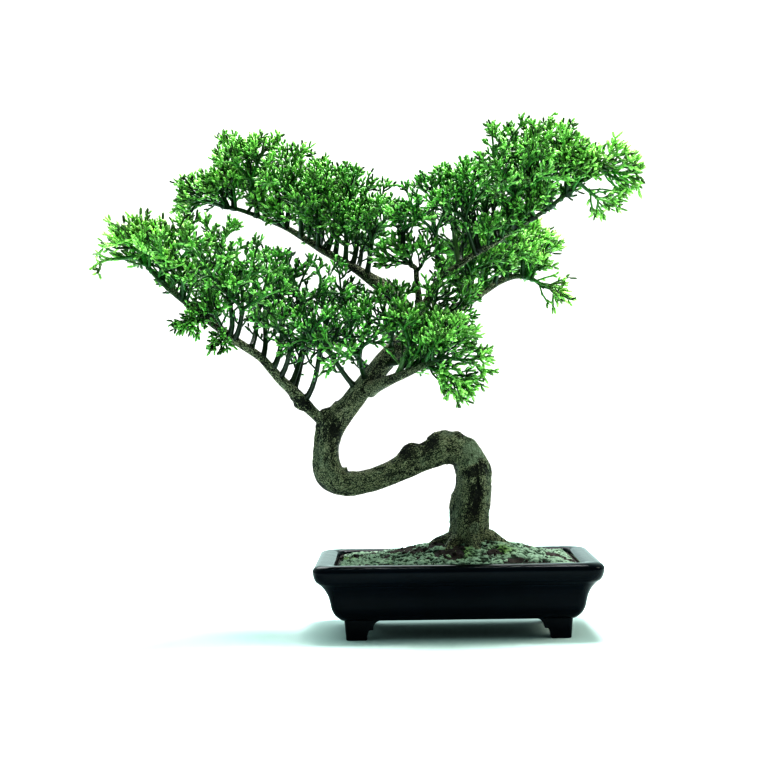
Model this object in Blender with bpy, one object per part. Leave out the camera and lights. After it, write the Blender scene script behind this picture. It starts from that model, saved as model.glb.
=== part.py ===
"""Juniper bonsai with a doubled-back trunk, in a glazed rectangular tray on four bracket feet.

All sizes are in millimetres and become metres in add_mesh_object. While it is modelled, the tray's
centre on the ground is the origin; +X is the viewer's right, +Y is away from the viewer, +Z is up.
centre_on_ground then moves the origin to the middle of the whole object's footprint.
"""

import math
import random

import bmesh
import bpy
import numpy as np
from mathutils import Vector
from mathutils.bvhtree import BVHTree

MM = 0.001

# Clearance between neighbours that touch
GAP = 0.3
SOIL_GAP = 0.35

# Tray: rim, height, corners that sharpen inwards, and floor
RIM_HALF_WIDTH = 75.0
RIM_HALF_DEPTH = 52.0
RIM_TOP = 40.0
RIM_CORNER = 9.0
CORNER_SHRINK = 0.35
CORNER_LEAST = 2.0
CORNER_STEPS = 4
FLOOR_TOP = 15.0
UNDERSIDE = 10.5

# Outside of the tray from the underside up and over the rim, then down the inside to the floor,
# as (distance in from the rim's outer edge, height)
TRAY_PROFILE = (
    (15.6, UNDERSIDE), (14.0, 10.8), (11.2, 13.2), (9.4, 16.5), (8.5, 20.5), (7.7, 23.5), (6.2, 26.5),
    (4.0, 29.2), (1.7, 31.2), (0.5, 33.6), (0.0, 36.4), (0.5, 38.4), (2.0, 39.7), (3.6, RIM_TOP),
    (8.4, RIM_TOP), (10.2, 39.5), (11.0, 38.2), (11.6, 34.0), (12.8, 26.0), (14.0, 19.0),
    (16.0, 16.2), (19.0, FLOOR_TOP),
)

# Bracket feet: an L in plan whose arms shorten downwards by a cove, a shelf and a small round
FOOT_INSET = 15.6
FOOT_THICKNESS = 8.0
FOOT_EDGE = 2.5
FOOT_EDGE_MIDDLE = 0.7
FOOT_TOP = UNDERSIDE + 1.7
FOOT_BATTER = 0.08
FOOT_ARM_LOW = ((0.0, 10.8), (1.6, 11.0), (3.6, 11.6), (5.3, 12.4))
FOOT_COVE_RADIUS = 5.0
FOOT_COVE_STEPS = 3
FOOT_SHELF_ARM = 14.5
FOOT_SHELF_Z = 5.5

# Drainage holes and their mesh screens
DRAIN_X = 32.0
DRAIN_RADIUS = 7.0
DRAIN_SIDES = 16
DRAIN_CUT = (UNDERSIDE - 3.0, FLOOR_TOP + 3.0)
SCREEN_SIZE = 20.0
SCREEN_THICKNESS = 0.9
SCREEN_BAR = 3.2
SCREEN_HOLES = 2

# Soil: outline inside the tray, edge height, mound over the roots, gentle lumps
SOIL_EDGE = 37.4
SOIL_INSET = ((19.3, FLOOR_TOP + SOIL_GAP), (16.4, 16.65), (14.4, 19.2), (13.15, 26.0), (11.95, 34.0))
SOIL_TOP_INSET = 11.75
SOIL_RINGS = (0.94, 0.80, 0.64, 0.48, 0.32, 0.16)
SOIL_LONG_STEPS = 4
SOIL_SHORT_STEPS = 3
MOUND_X = 7.0
MOUND_HEIGHT = 10.5
MOUND_SPREAD = (31.0, 19.0)
MOUND_EDGE_POWER = 6

# Gentle lumps on the soil: height, waves along X and Y as (per mm, offset), and a finer slanted one
LUMP_HEIGHT = 0.45
LUMP_WAVE_X = (0.21, 0.9)
LUMP_WAVE_Y = (0.27, -0.4)
LUMP_SLANT = (0.43, -0.31)
LUMP_SLANT_SHARE = 0.6

# Wood: rows of (x, y, z, radius) along the middle of each limb
TRUNK = (
    (6, 0, 22, 11.5), (6.5, 0, 34, 12.6), (7, 0, 46, 12.2), (8, 0, 62, 11.0), (9, 0, 75, 10.6),
    (9, -1, 86, 10.2), (5.5, -2, 95, 9.9), (-5, -3, 99, 9.2), (-18, -4, 94.5, 8.0),
    (-33, -6, 87, 7.1), (-47, -7, 81.5, 6.7), (-59, -7, 80.5, 6.8), (-67, -6, 87, 7.0),
    (-69, -5, 98, 6.7), (-67, -4, 109, 7.1), (-60, -3, 120, 6.7), (-50, -1, 133, 6.2),
    (-38, 1, 146, 5.8), (-28, 3, 156, 5.3), (-21, 5, 164, 4.6), (-18, 6, 169, 3.4),
)
LIMB_LEFT = (
    (-67, -4, 110, 4.8), (-75, -8, 117.5, 4.0), (-83, -11, 127, 3.8), (-92, -15, 136, 3.2),
    (-105, -20, 150, 2.6), (-118, -24, 162, 2.4), (-132, -28, 174, 2.0), (-146, -32, 186, 1.6),
    (-157, -34, 195, 1.2), (-166, -36, 201, 0.9),
)
LIMB_BACK = (
    (-20, 5, 164, 4.4), (-26, 9, 173.5, 4.8), (-34, 13, 183, 4.8), (-44, 17, 190.5, 3.8),
    (-52, 21, 196, 2.9), (-61, 25, 201.5, 2.6), (-70, 29, 207, 2.5), (-79, 32, 213, 2.2),
    (-90, 35, 220, 1.8), (-102, 38, 225.5, 1.5), (-116, 40, 231, 1.3), (-127, 41, 234, 1.0),
)
LIMB_RIGHT = (
    (-20, 5, 164, 3.6), (-15, 3, 173, 3.0), (-11, 1, 182, 2.5), (-6, -1, 189, 2.1),
    (2, -3, 194.5, 1.9), (11, -5, 200.5, 1.8), (21, -7, 206, 1.7), (29, -9, 211, 1.5),
    (37, -10, 216, 1.4), (45, -11, 220.5, 1.3), (53, -12, 226, 1.2), (63, -13, 233.5, 1.2),
    (71, -14, 240, 1.0), (79, -14, 245, 0.8),
)
LIMB_REAR = (
    (-22, 5, 161, 3.6), (-12, 16, 166, 3.0), (-1, 26, 172, 2.6), (10, 34, 178, 2.5),
    (19, 41, 184, 2.3), (28, 47, 189.5, 2.0), (38, 52, 192.5, 1.5), (47, 55, 191, 1.1),
    (54, 57, 186, 0.9),
)
LIMB_FRONT = (
    (-47, -3, 132, 4.2), (-39, -14, 135.5, 3.3), (-32, -22, 138.5, 2.6), (-25, -30, 141, 2.1),
    (-18, -37, 144, 1.7), (-11, -43, 146, 1.3), (-4, -48, 148, 0.9),
)
LIMB_SIDE = (
    (-17, 4, 168, 2.6), (-18, -4, 180, 1.7), (-19, -9, 189, 1.4), (-19.5, -11, 194, 1.3),
    (-23.5, -13, 197, 1.1), (-26, -14, 201, 1.0), (-26, -15, 207, 0.8),
)

# Each limb with its sides, its steps between points and the direction its ring angles count from
FRONT = (0.0, -1.0, 0.0)
UP = (0.0, 0.0, 1.0)
LIMBS = {
    "trunk": (TRUNK, 10, 2, FRONT),
    "left": (LIMB_LEFT, 7, 1, FRONT),
    "back": (LIMB_BACK, 7, 1, FRONT),
    "right": (LIMB_RIGHT, 6, 1, FRONT),
    "rear": (LIMB_REAR, 6, 1, UP),
    "front": (LIMB_FRONT, 6, 1, UP),
    "side": (LIMB_SIDE, 6, 1, FRONT),
}

# Knobs, scars and swellings on the trunk, as (place along it counted in points, angle in degrees
# from the front by way of the outer side, height, length, width in degrees)
KNOBS = (
    (3.4, -95, 1.3, 6, 30), (3.1, 60, 0.9, 9, 24), (4.6, 35, 0.8, 8, 26), (6.2, 70, 1.1, 4, 26),
    (7.3, 80, 1.0, 3, 24), (8.3, 95, 2.3, 4, 28), (11.3, 100, 1.6, 2.5, 20), (10.6, 75, 0.9, 3, 26),
    (14.2, -80, 2.6, 5, 34), (14.5, -40, 1.2, 4, 28), (13.2, -20, 0.7, 5, 30),
    (16.3, 110, 1.6, 4, 26), (17.2, 60, 0.8, 5, 26),
)
LEAST_RADIUS = 0.3

# Flutes that wind round the trunk: depth as a share of the radius, then rows of (number round it,
# turn for each point along it, offset, share of the depth)
FLUTE = 0.05
FLUTES = ((3, 0.55, 0.0, 1.0), (5, -0.8, 1.0, 0.6))
FOOT_DOME = 0.35
TIP_DOME = 0.5

# Surface roots, as (direction in degrees from +X, reach, radius at the trunk)
ROOTS = ((-4, 30, 4.6), (-72, 27, 4.2), (-128, 26, 3.6), (176, 28, 4.0), (112, 26, 4.2), (47, 27, 3.8))
ROOT_LIFT = ((0.26, 6.0), (0.42, 3.4), (0.60, 1.0), (0.80, -1.8), (1.0, -6.0))
ROOT_TAPER = (1.0, 0.95, 0.72, 0.5, 0.3)
ROOT_BEND = 0.12
ROOT_SINK = 0.3
ROOT_SIDES = 6
TRUNK_BURIED_POINTS = 5

# Sprays in rows along a limb, as (node name, limb, first and last place in points, how many,
# heights at the start, middle and end, sideways leans at the start and end)
SPRAY_ROWS = (
    ("spray_left", "left", 1.7, 8.3, 9, (82, 70, 32), (0.34, -0.30)),
    ("spray_back", "back", 3.3, 10.4, 8, (56, 64, 48), (0.22, -0.26)),
    ("spray_right", "right", 3.2, 12.0, 9, (66, 69, 32), (-0.18, 0.06)),
    ("spray_rear", "rear", 3.0, 6.6, 4, (38, 40, 31), (0.10, 0.35)),
    ("spray_front", "front", 2.4, 5.2, 3, (38, 34, 28), (0.45, 0.80)),
)
DEPTH_LEANS = (-0.42, 0.40, -0.12, 0.66, -0.72, 0.16)

# Single sprays, as (node name, limb, place in points, height, heading)
SINGLE_SPRAYS = (
    ("spray_left_tip_low", "left", 9.0, 24, (-1.0, -0.10, -0.12)),
    ("spray_left_tip_high", "left", 8.8, 28, (-0.50, 0.15, 1.0)),
    ("spray_left_under", "left", 6.2, 20, (-0.35, -0.50, -0.85)),
    ("spray_back_tip_low", "back", 11.0, 32, (-1.0, 0.10, 0.30)),
    ("spray_back_tip_high", "back", 10.7, 32, (-0.55, -0.20, 1.0)),
    ("spray_right_tip_low", "right", 11.6, 24, (0.80, 0.35, -0.60)),
    ("spray_right_tip_mid", "right", 12.9, 25, (1.0, 0.05, -0.12)),
    ("spray_right_tip_high", "right", 12.6, 27, (0.62, -0.25, 0.9)),
    ("spray_rear_tip", "rear", 7.8, 18, (0.80, 0.10, -0.45)),
    ("spray_front_tip", "front", 5.8, 25, (1.0, -0.05, -0.10)),
    ("spray_front_low", "front", 4.6, 29, (0.85, 0.10, -0.50)),
    ("spray_side_left", "side", 3.8, 22, (-1.0, -0.15, 0.35)),
    ("spray_side_top", "side", 5.8, 32, (0.05, -0.10, 1.0)),
    ("spray_side_right", "side", 2.6, 26, (0.45, -0.60, 0.9)),
    ("spray_crown_far_left", "trunk", 15.7, 58, (-0.60, -0.45, 0.9)),
    ("spray_crown_left", "trunk", 16.4, 50, (-0.75, 0.40, 0.9)),
    ("spray_crown_low", "trunk", 16.1, 50, (-0.15, -0.95, 0.75)),
    ("spray_crown_front", "trunk", 17.4, 46, (0.10, -0.90, 0.8)),
    ("spray_crown_right", "trunk", 16.9, 52, (0.95, -0.50, 0.30)),
    ("spray_crown_far_right", "trunk", 18.4, 42, (0.85, -0.50, 0.80)),
    ("spray_crown_back", "trunk", 17.7, 42, (-0.30, 1.0, 0.60)),
)

# Growth of a spray: share of its height in the stem and in the two forks above, then the fingers
SHOOT_SHARES = (0.33, 0.29, 0.25)
SMALL_SHARES = (0.44, 0.36)
SMALL_SPRAY = 30.0
LENGTH_SPREAD = (0.8, 1.2)
FINGER_LENGTH = (4.6, 6.4)
SHOOT_RADII = (1.45, 1.15, 0.95, 0.95)
SMALL_STEM = 0.82
SHOOT_TAPER = 0.84

# Forks: ways, lean and turn of each way in degrees, rise of the crotch, and pull to the light
FORK_WAYS = 3
FORK_ANGLE = (30.0, 52.0)
FORK_TURN = 16.0
FORK_PEAK = 0.7
LIFT = 0.30
LIFT_SPREAD = (0.3, 1.0)
LIGHT = 0.55
HANGING = -0.2
INNER_GUIDE = (0.3, 1.0, 0.2)

# Room: tries for each shoot, least angle between neighbours, least gap, swell of the wood's own
# radius, length of a stem's foot that may lie close to its limb, and steps that seat the foot
TRIES = 14
SIBLING_ANGLE = 34.0
SHOOT_CLEARANCE = 0.45
WOOD_SWELL = 1.16
STEM_SEAT = 5.0
STEM_SEAT_SHARE = 0.6
STEM_SLANT = 0.85
STEM_SPREAD = (0.92, 1.08)
SEAT_STEPS = 60
SEAT_AIM = 1.15 * GAP
SEAT_MOST = 1.3 * GAP
GAP_SAMPLES = 9
SHOOT_START = 0.15

# Materials as (name, linear colour, roughness, metallic)
GLAZE = ("navy_glaze", (0.0015, 0.0035, 0.0075), 0.12, 0.0)
EARTH = ("moist_soil", (0.022, 0.017, 0.013), 0.95, 0.0)
BARK = ("juniper_bark", (0.055, 0.058, 0.036), 0.85, 0.0)
FOLIAGE = ("juniper_foliage", (0.030, 0.130, 0.022), 0.55, 0.0)
SCREEN = ("screen_plastic", (0.010, 0.010, 0.011), 0.5, 0.0)


def clear_scene():
    """Remove every object that the scene holds."""
    for item in list(bpy.data.objects):
        bpy.data.objects.remove(item, do_unlink=True)


def make_material(spec):
    """Make, or find, a Principled material from a name, colour, roughness and metallic value."""
    name, colour, roughness, metallic = spec
    material = bpy.data.materials.get(name) or bpy.data.materials.new(name)
    material.use_nodes = True
    shader = material.node_tree.nodes["Principled BSDF"]
    shader.inputs["Base Color"].default_value = (*colour, 1.0)
    shader.inputs["Roughness"].default_value = roughness
    shader.inputs["Metallic"].default_value = metallic
    return material


def add_mesh_object(name, points, faces, spec, smooth_angle=40.0):
    """Make an object from points in millimetres, with its faces turned outwards."""
    mesh = bpy.data.meshes.new(name)
    mesh.from_pydata([tuple(float(value) * MM for value in point) for point in points], [], faces)
    shell = bmesh.new()
    shell.from_mesh(mesh)
    bmesh.ops.recalc_face_normals(shell, faces=shell.faces)
    shell.to_mesh(mesh)
    shell.free()
    mesh.materials.append(make_material(spec))
    mesh.shade_smooth()
    mesh.set_sharp_from_angle(angle=math.radians(smooth_angle))
    item = bpy.data.objects.new(name, mesh)
    bpy.context.collection.objects.link(item)
    return item


def apply_modifiers(item):
    """Replace the object's mesh by the one its modifiers give."""
    graph = bpy.context.evaluated_depsgraph_get()
    mesh = bpy.data.meshes.new_from_object(item.evaluated_get(graph))
    item.modifiers.clear()
    item.data = mesh


def join_all(target, others, operation="UNION"):
    """Union or cut the target with other objects in one Boolean, then remove those objects."""
    group = bpy.data.collections.new(target.name + "_operands")
    bpy.context.scene.collection.children.link(group)
    for item in others:
        bpy.context.collection.objects.unlink(item)
        group.objects.link(item)
        item.hide_render = True
        item.display_type = "WIRE"
    joiner = target.modifiers.new("join", "BOOLEAN")
    joiner.operation = operation
    joiner.operand_type = "COLLECTION"
    joiner.collection = group
    joiner.solver = "EXACT"
    apply_modifiers(target)
    for item in others:
        bpy.data.objects.remove(item, do_unlink=True)
    bpy.data.collections.remove(group)


def drop_scraps(item):
    """Keep the largest of the bodies that a cut left, and remove the loose scraps."""
    shell = bmesh.new()
    shell.from_mesh(item.data)
    shell.verts.ensure_lookup_table()
    bodies = []
    left = set(shell.verts)
    while left:
        body = {left.pop()}
        edge = list(body)
        while edge:
            vertex = edge.pop()
            near = {link.other_vert(vertex) for link in vertex.link_edges} - body
            body |= near
            edge += near
        left -= body
        bodies.append(body)
    bodies.sort(key=len)
    scraps = [vertex for body in bodies[:-1] for vertex in body]
    bmesh.ops.delete(shell, geom=scraps, context="VERTS")
    shell.to_mesh(item.data)
    shell.free()


def loft_faces(rings, count):
    """Quads between successive rings of count points, with a cap at each end."""
    faces = []
    for ring in range(rings - 1):
        for step in range(count):
            after = (step + 1) % count
            low = ring * count
            high = low + count
            faces.append((low + step, low + after, high + after, high + step))
    faces.append(tuple(reversed(range(count))))
    faces.append(tuple(range((rings - 1) * count, rings * count)))
    return faces


def rounded_rectangle(half_x, half_y, corner, long_steps=1, short_steps=1):
    """Points of a rectangle with round corners, anticlockwise; its sides may be divided."""
    corners = ((1, 1), (-1, 1), (-1, -1), (1, -1))
    points = []
    for quarter, (side_x, side_y) in enumerate(corners):
        middle_x = side_x * (half_x - corner)
        middle_y = side_y * (half_y - corner)
        for step in range(CORNER_STEPS + 1):
            angle = math.pi / 2 * (quarter + step / CORNER_STEPS)
            points.append((middle_x + corner * math.cos(angle), middle_y + corner * math.sin(angle)))
        divisions = long_steps if quarter % 2 == 0 else short_steps
        start = points[-1]
        next_x, next_y = corners[(quarter + 1) % 4]
        turn = math.pi / 2 * (quarter + 1)
        end = (next_x * (half_x - corner) + corner * math.cos(turn),
               next_y * (half_y - corner) + corner * math.sin(turn))
        for step in range(1, divisions):
            share = step / divisions
            points.append((start[0] + (end[0] - start[0]) * share, start[1] + (end[1] - start[1]) * share))
    return points


def inset_ring(inset, height, long_steps=1, short_steps=1):
    """One level ring of the tray, drawn in from the rim's outer edge by inset."""
    corner = max(RIM_CORNER - CORNER_SHRINK * inset, CORNER_LEAST)
    plan = rounded_rectangle(RIM_HALF_WIDTH - inset, RIM_HALF_DEPTH - inset, corner, long_steps, short_steps)
    return [(x, y, height) for x, y in plan]


def make_foot(side_x, side_y):
    """One bracket foot: L-shaped levels whose arms grow upwards through a shelf and a cove."""
    levels = list(FOOT_ARM_LOW)
    for step in range(FOOT_COVE_STEPS + 1):
        angle = math.pi / 2 * step / FOOT_COVE_STEPS
        reach = FOOT_SHELF_ARM + FOOT_COVE_RADIUS * (1 - math.cos(angle))
        levels.append((FOOT_SHELF_Z + FOOT_COVE_RADIUS * math.sin(angle), reach))
    levels.append((FOOT_TOP, FOOT_SHELF_ARM + FOOT_COVE_RADIUS))
    points = []
    for height, arm in levels:
        outer = FOOT_INSET + FOOT_BATTER * (FOOT_TOP - height)
        edge = ((0, FOOT_EDGE), (FOOT_EDGE_MIDDLE, FOOT_EDGE_MIDDLE), (FOOT_EDGE, 0), (arm, 0),
                (arm, FOOT_THICKNESS), (FOOT_THICKNESS, FOOT_THICKNESS), (FOOT_THICKNESS, arm), (0, arm))
        for inward_x, inward_y in edge:
            points.append((side_x * (RIM_HALF_WIDTH - outer - inward_x),
                           side_y * (RIM_HALF_DEPTH - outer - inward_y), height))
    return add_mesh_object("foot", points, loft_faces(len(levels), len(edge)), GLAZE)


def make_drain_cutter(x):
    """A round cutter through the tray's floor."""
    points = []
    for height in DRAIN_CUT:
        for step in range(DRAIN_SIDES):
            angle = 2 * math.pi * step / DRAIN_SIDES
            points.append((x + DRAIN_RADIUS * math.cos(angle), DRAIN_RADIUS * math.sin(angle), height))
    return add_mesh_object("drain_cutter", points, loft_faces(2, DRAIN_SIDES), GLAZE)


def make_pot():
    """The tray: its profile carried round the rounded rectangle, with feet and drainage holes."""
    rings = [inset_ring(inset, height) for inset, height in TRAY_PROFILE]
    points = [point for ring in rings for point in ring]
    pot = add_mesh_object("pot", points, loft_faces(len(rings), len(rings[0])), GLAZE)
    feet = [make_foot(side_x, side_y) for side_x in (-1, 1) for side_y in (-1, 1)]
    join_all(pot, feet)
    join_all(pot, [make_drain_cutter(x) for x in (-DRAIN_X, DRAIN_X)], "DIFFERENCE")
    return pot


def make_screen(name, x):
    """A square mesh screen: a plate with a grid of square holes, over a drainage hole."""
    hole = (SCREEN_SIZE - SCREEN_BAR * (SCREEN_HOLES + 1)) / SCREEN_HOLES
    lines = [-SCREEN_SIZE / 2]
    for _ in range(SCREEN_HOLES):
        lines += [lines[-1] + SCREEN_BAR, lines[-1] + SCREEN_BAR + hole]
    lines.append(SCREEN_SIZE / 2)
    cells = len(lines) - 1
    bottom = FLOOR_TOP + GAP
    points = [(x + across, along, height) for height in (bottom, bottom + SCREEN_THICKNESS)
              for along in lines for across in lines]
    layer = len(lines) ** 2

    def is_bar(column, row):
        inside = 0 <= column < cells and 0 <= row < cells
        return inside and not (column % 2 and row % 2)

    faces = []
    for row in range(cells):
        for column in range(cells):
            if not is_bar(column, row):
                continue
            low = row * len(lines) + column
            square = (low, low + 1, low + 1 + len(lines), low + len(lines))
            faces.append(tuple(reversed(square)))
            faces.append(tuple(corner + layer for corner in square))
            beyond = ((column, row - 1), (column + 1, row), (column, row + 1), (column - 1, row))
            for side, place in enumerate(beyond):
                if not is_bar(*place):
                    start = square[side]
                    end = square[(side + 1) % 4]
                    faces.append((start, end, end + layer, start + layer))
    return add_mesh_object(name, points, faces, SCREEN)


def soil_height(x, y):
    """Height of the soil: level at the rim, one wide mound over the roots, and gentle lumps."""
    mound = math.exp(-((x - MOUND_X) / MOUND_SPREAD[0]) ** 2 / 2 - (y / MOUND_SPREAD[1]) ** 2 / 2)
    edge = max(0.0, 1 - max(abs(x) / (RIM_HALF_WIDTH - SOIL_TOP_INSET),
                            abs(y) / (RIM_HALF_DEPTH - SOIL_TOP_INSET)) ** MOUND_EDGE_POWER)
    lumps = (math.sin(LUMP_WAVE_X[0] * x + LUMP_WAVE_X[1]) * math.sin(LUMP_WAVE_Y[0] * y + LUMP_WAVE_Y[1])
             + LUMP_SLANT_SHARE * math.sin(LUMP_SLANT[0] * x + LUMP_SLANT[1] * y))
    return SOIL_EDGE + edge * (MOUND_HEIGHT * mound + LUMP_HEIGHT * lumps)


def make_soil():
    """The soil: the inside of the tray less a small gap, with a mounded top."""
    steps = (SOIL_LONG_STEPS, SOIL_SHORT_STEPS)
    rings = [inset_ring(inset, height, *steps) for inset, height in SOIL_INSET]
    edge = inset_ring(SOIL_TOP_INSET, SOIL_EDGE, *steps)
    rings.append(edge)
    for share in SOIL_RINGS:
        rings.append([(x * share, y * share, soil_height(x * share, y * share)) for x, y, _ in edge])
    points = [point for ring in rings for point in ring]
    count = len(edge)
    faces = loft_faces(len(rings), count)
    faces.pop()
    last = (len(rings) - 1) * count
    points.append((0.0, 0.0, soil_height(0.0, 0.0)))
    for step in range(count):
        faces.append((last + step, last + (step + 1) % count, len(points) - 1))
    return add_mesh_object("soil", points, faces, EARTH)


def cut_soil(soil):
    """Hollow the soil for the trunk's foot, the roots and the two screens."""
    trunk, sides, steps, reference = LIMBS["trunk"]
    foot = trunk[:TRUNK_BURIED_POINTS]
    cutters = [make_limb("trunk_hollow", foot, sides, steps, reference, KNOBS, FLUTE, SOIL_GAP)]
    for row in ROOTS:
        cutters.append(make_limb("root_hollow", root_points(*row), ROOT_SIDES, 1, UP, (), 0.0, SOIL_GAP))
    for x in (-DRAIN_X, DRAIN_X):
        half = SCREEN_SIZE / 2 + GAP
        plan = ((-half, -half), (half, -half), (half, half), (-half, half))
        top = FLOOR_TOP + 2 * GAP + SCREEN_THICKNESS
        points = [(x + across, along, height) for height in (UNDERSIDE, top) for across, along in plan]
        cutters.append(add_mesh_object("screen_hollow", points, loft_faces(2, 4), EARTH))
    join_all(soil, cutters, "DIFFERENCE")
    drop_scraps(soil)


def smooth_path(points, steps):
    """Catmull-Rom curve through rows of (x, y, z, radius), with its place counted in points."""
    rows = np.asarray(points, float)
    padded = np.vstack([2 * rows[0] - rows[1], rows, 2 * rows[-1] - rows[-2]])
    samples = []
    places = []
    for index in range(len(rows) - 1):
        before, start, end, after = padded[index:index + 4]
        for step in range(steps):
            t = step / steps
            samples.append(0.5 * (2 * start + (end - before) * t
                                  + (2 * before - 5 * start + 4 * end - after) * t ** 2
                                  + (3 * start - before - 3 * end + after) * t ** 3))
            places.append(index + t)
    samples.append(rows[-1])
    places.append(len(rows) - 1.0)
    path = np.array(samples)
    path[:, 3] = np.maximum(path[:, 3], LEAST_RADIUS)
    return path, np.array(places)


def unit(vectors):
    """Vectors scaled to length one."""
    return vectors / np.linalg.norm(vectors, axis=-1, keepdims=True)


def path_frames(path, reference):
    """Tangent, first and second cross directions at each point of a path."""
    tangent = unit(np.gradient(path[:, :3], axis=0))
    guide = np.asarray(reference, float)
    first = unit(guide - (tangent @ guide)[:, None] * tangent)
    second = np.cross(tangent, first)
    return tangent, first, second


def bark_radius(path, places, angles, knobs, flute):
    """Radius at each ring and angle: the limb's own, shallow flutes and its knobs."""
    radius = path[:, 3][:, None] * np.ones_like(angles)[None, :]
    place = places[:, None]
    angle = angles[None, :]
    for number, turn, offset, share in FLUTES:
        radius = radius + flute * share * path[:, 3][:, None] * np.sin(number * angle + turn * place + offset)
    run = np.concatenate([[0.0], np.cumsum(np.linalg.norm(np.diff(path[:, :3], axis=0), axis=1))])
    for knob_place, degrees, height, length, width in knobs:
        along = (run - np.interp(knob_place, places, run))[:, None] / length
        turn = (angle - math.radians(degrees) + math.pi) % (2 * math.pi) - math.pi
        radius = radius + height * np.exp(-along ** 2 - (turn / math.radians(width)) ** 2)
    return radius


def make_limb(name, points, sides, steps, reference, knobs=(), flute=0.0, grow=0.0):
    """A round limb along a path, closed at both ends by a low dome."""
    path, places = smooth_path(points, steps)
    tangent, first, second = path_frames(path, reference)
    angles = np.arange(sides) * 2 * math.pi / sides
    radius = bark_radius(path, places, angles, knobs, flute) + grow
    ring = (path[:, None, :3] + radius[:, :, None] * (np.cos(angles)[None, :, None] * first[:, None, :]
                                                     + np.sin(angles)[None, :, None] * second[:, None, :]))
    points = ring.reshape(-1, 3).tolist()
    faces = loft_faces(len(path), sides)[:-2]
    last = (len(path) - 1) * sides
    points.append(path[0, :3] - tangent[0] * (FOOT_DOME * path[0, 3] + grow))
    points.append(path[-1, :3] + tangent[-1] * (TIP_DOME * path[-1, 3] + grow))
    for step in range(sides):
        after = (step + 1) % sides
        faces.append((after, step, len(points) - 2))
        faces.append((last + step, last + after, len(points) - 1))
    return add_mesh_object(name, points, faces, BARK)


def root_points(degrees, reach, radius):
    """A surface root: out from the trunk's foot, along the mound, and down into the soil."""
    angle = math.radians(degrees)
    points = []
    for (share, lift), taper in zip(ROOT_LIFT, ROOT_TAPER):
        bend = ROOT_BEND * math.sin(3.0 * share + degrees)
        x = MOUND_X + reach * share * math.cos(angle + bend)
        y = reach * share * math.sin(angle + bend)
        points.append((x, y, soil_height(x, y) + lift - ROOT_SINK * radius, radius * taper))
    return points


def make_wood():
    """The trunk, its limbs and its surface roots, grown as one."""
    parts = []
    for name, (points, sides, steps, reference) in LIMBS.items():
        knobs = KNOBS if name == "trunk" else ()
        flute = FLUTE if name == "trunk" else 0.0
        parts.append(make_limb(name, points, sides, steps, reference, knobs, flute))
    for row in ROOTS:
        parts.append(make_limb("root", root_points(*row), ROOT_SIDES, 1, UP))
    wood = parts[0]
    join_all(wood, parts[1:])
    return wood


def point_on_limb(limb, place):
    """Middle, radius and tangent of a limb at a place counted in points."""
    points = LIMBS[limb][0]
    path, places = smooth_path(points, 6)
    tangent = unit(np.gradient(path[:, :3], axis=0))
    row = [np.interp(place, places, path[:, column]) for column in range(4)]
    along = unit(np.array([np.interp(place, places, tangent[:, column]) for column in range(3)]))
    return np.array(row[:3]), row[3], along


def planned_sprays():
    """Every spray as (name, limb, place, height, heading)."""
    sprays = []
    for name, limb, first, last, count, heights, leans in SPRAY_ROWS:
        for index in range(count):
            share = index / (count - 1)
            place = first + (last - first) * share
            height = float(np.interp(share, (0, 0.5, 1), heights))
            heading = (leans[0] + (leans[1] - leans[0]) * share, DEPTH_LEANS[index % len(DEPTH_LEANS)], 1.0)
            sprays.append((f"{name}_{index + 1:02d}", limb, place, height, heading))
    return sprays + list(SINGLE_SPRAYS)


class Taken:
    """Room that wood and shoots already take, as round-ended rods."""

    def __init__(self):
        self.starts = np.zeros((0, 3))
        self.ends = np.zeros((0, 3))
        self.radii = np.zeros(0)

    def add(self, start, end, radius):
        self.starts = np.vstack([self.starts, start])
        self.ends = np.vstack([self.ends, end])
        self.radii = np.append(self.radii, radius)

    def gap(self, start, end, radius, skipped, first_share=SHOOT_START):
        """Least gap between a new rod and the rest, from points spread along the new one."""
        shares = np.linspace(first_share, 1.0, GAP_SAMPLES)
        samples = start + (end - start) * shares[:, None]
        span = self.ends - self.starts
        offset = samples[:, None, :] - self.starts[None]
        place = np.clip((offset * span).sum(2) / (span * span).sum(1), 0.0, 1.0)
        distance = np.linalg.norm(offset - place[:, :, None] * span, axis=2) - self.radii - radius
        distance[:, skipped] = np.inf
        return distance.min()


def take_wood(taken):
    """Note the room of every limb, a little swollen for its flutes and knobs."""
    for points, _, steps, _ in LIMBS.values():
        path, _ = smooth_path(points, max(steps, 2))
        for start, end in zip(path[:-1], path[1:]):
            taken.add(start[:3], end[:3], WOOD_SWELL * max(start[3], end[3]))


def turned(vector, axis, degrees):
    """A vector at right angles to the axis, turned round it."""
    angle = math.radians(degrees)
    return vector * math.cos(angle) + np.cross(axis, vector) * math.sin(angle)


def shoot_heading(axis, inner, side, rng, pull):
    """Heading of a fork's shoot: out over one side of its parent and pulled towards the light."""
    out = -turned(inner, axis, 360.0 / FORK_WAYS * side)
    out = turned(out, axis, rng.uniform(-FORK_TURN, FORK_TURN))
    angle = math.radians(rng.uniform(*FORK_ANGLE))
    lift = LIFT * rng.uniform(*LIFT_SPREAD)
    return unit(axis * math.cos(angle) + out * math.sin(angle) + lift * pull)


def least_angle(axis, family):
    """Least angle in degrees between a new shoot and the shoots already at its fork."""
    angles = [math.degrees(math.acos(min(1.0, axis @ other))) for _, other in family]
    return min(angles, default=180.0)


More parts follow.
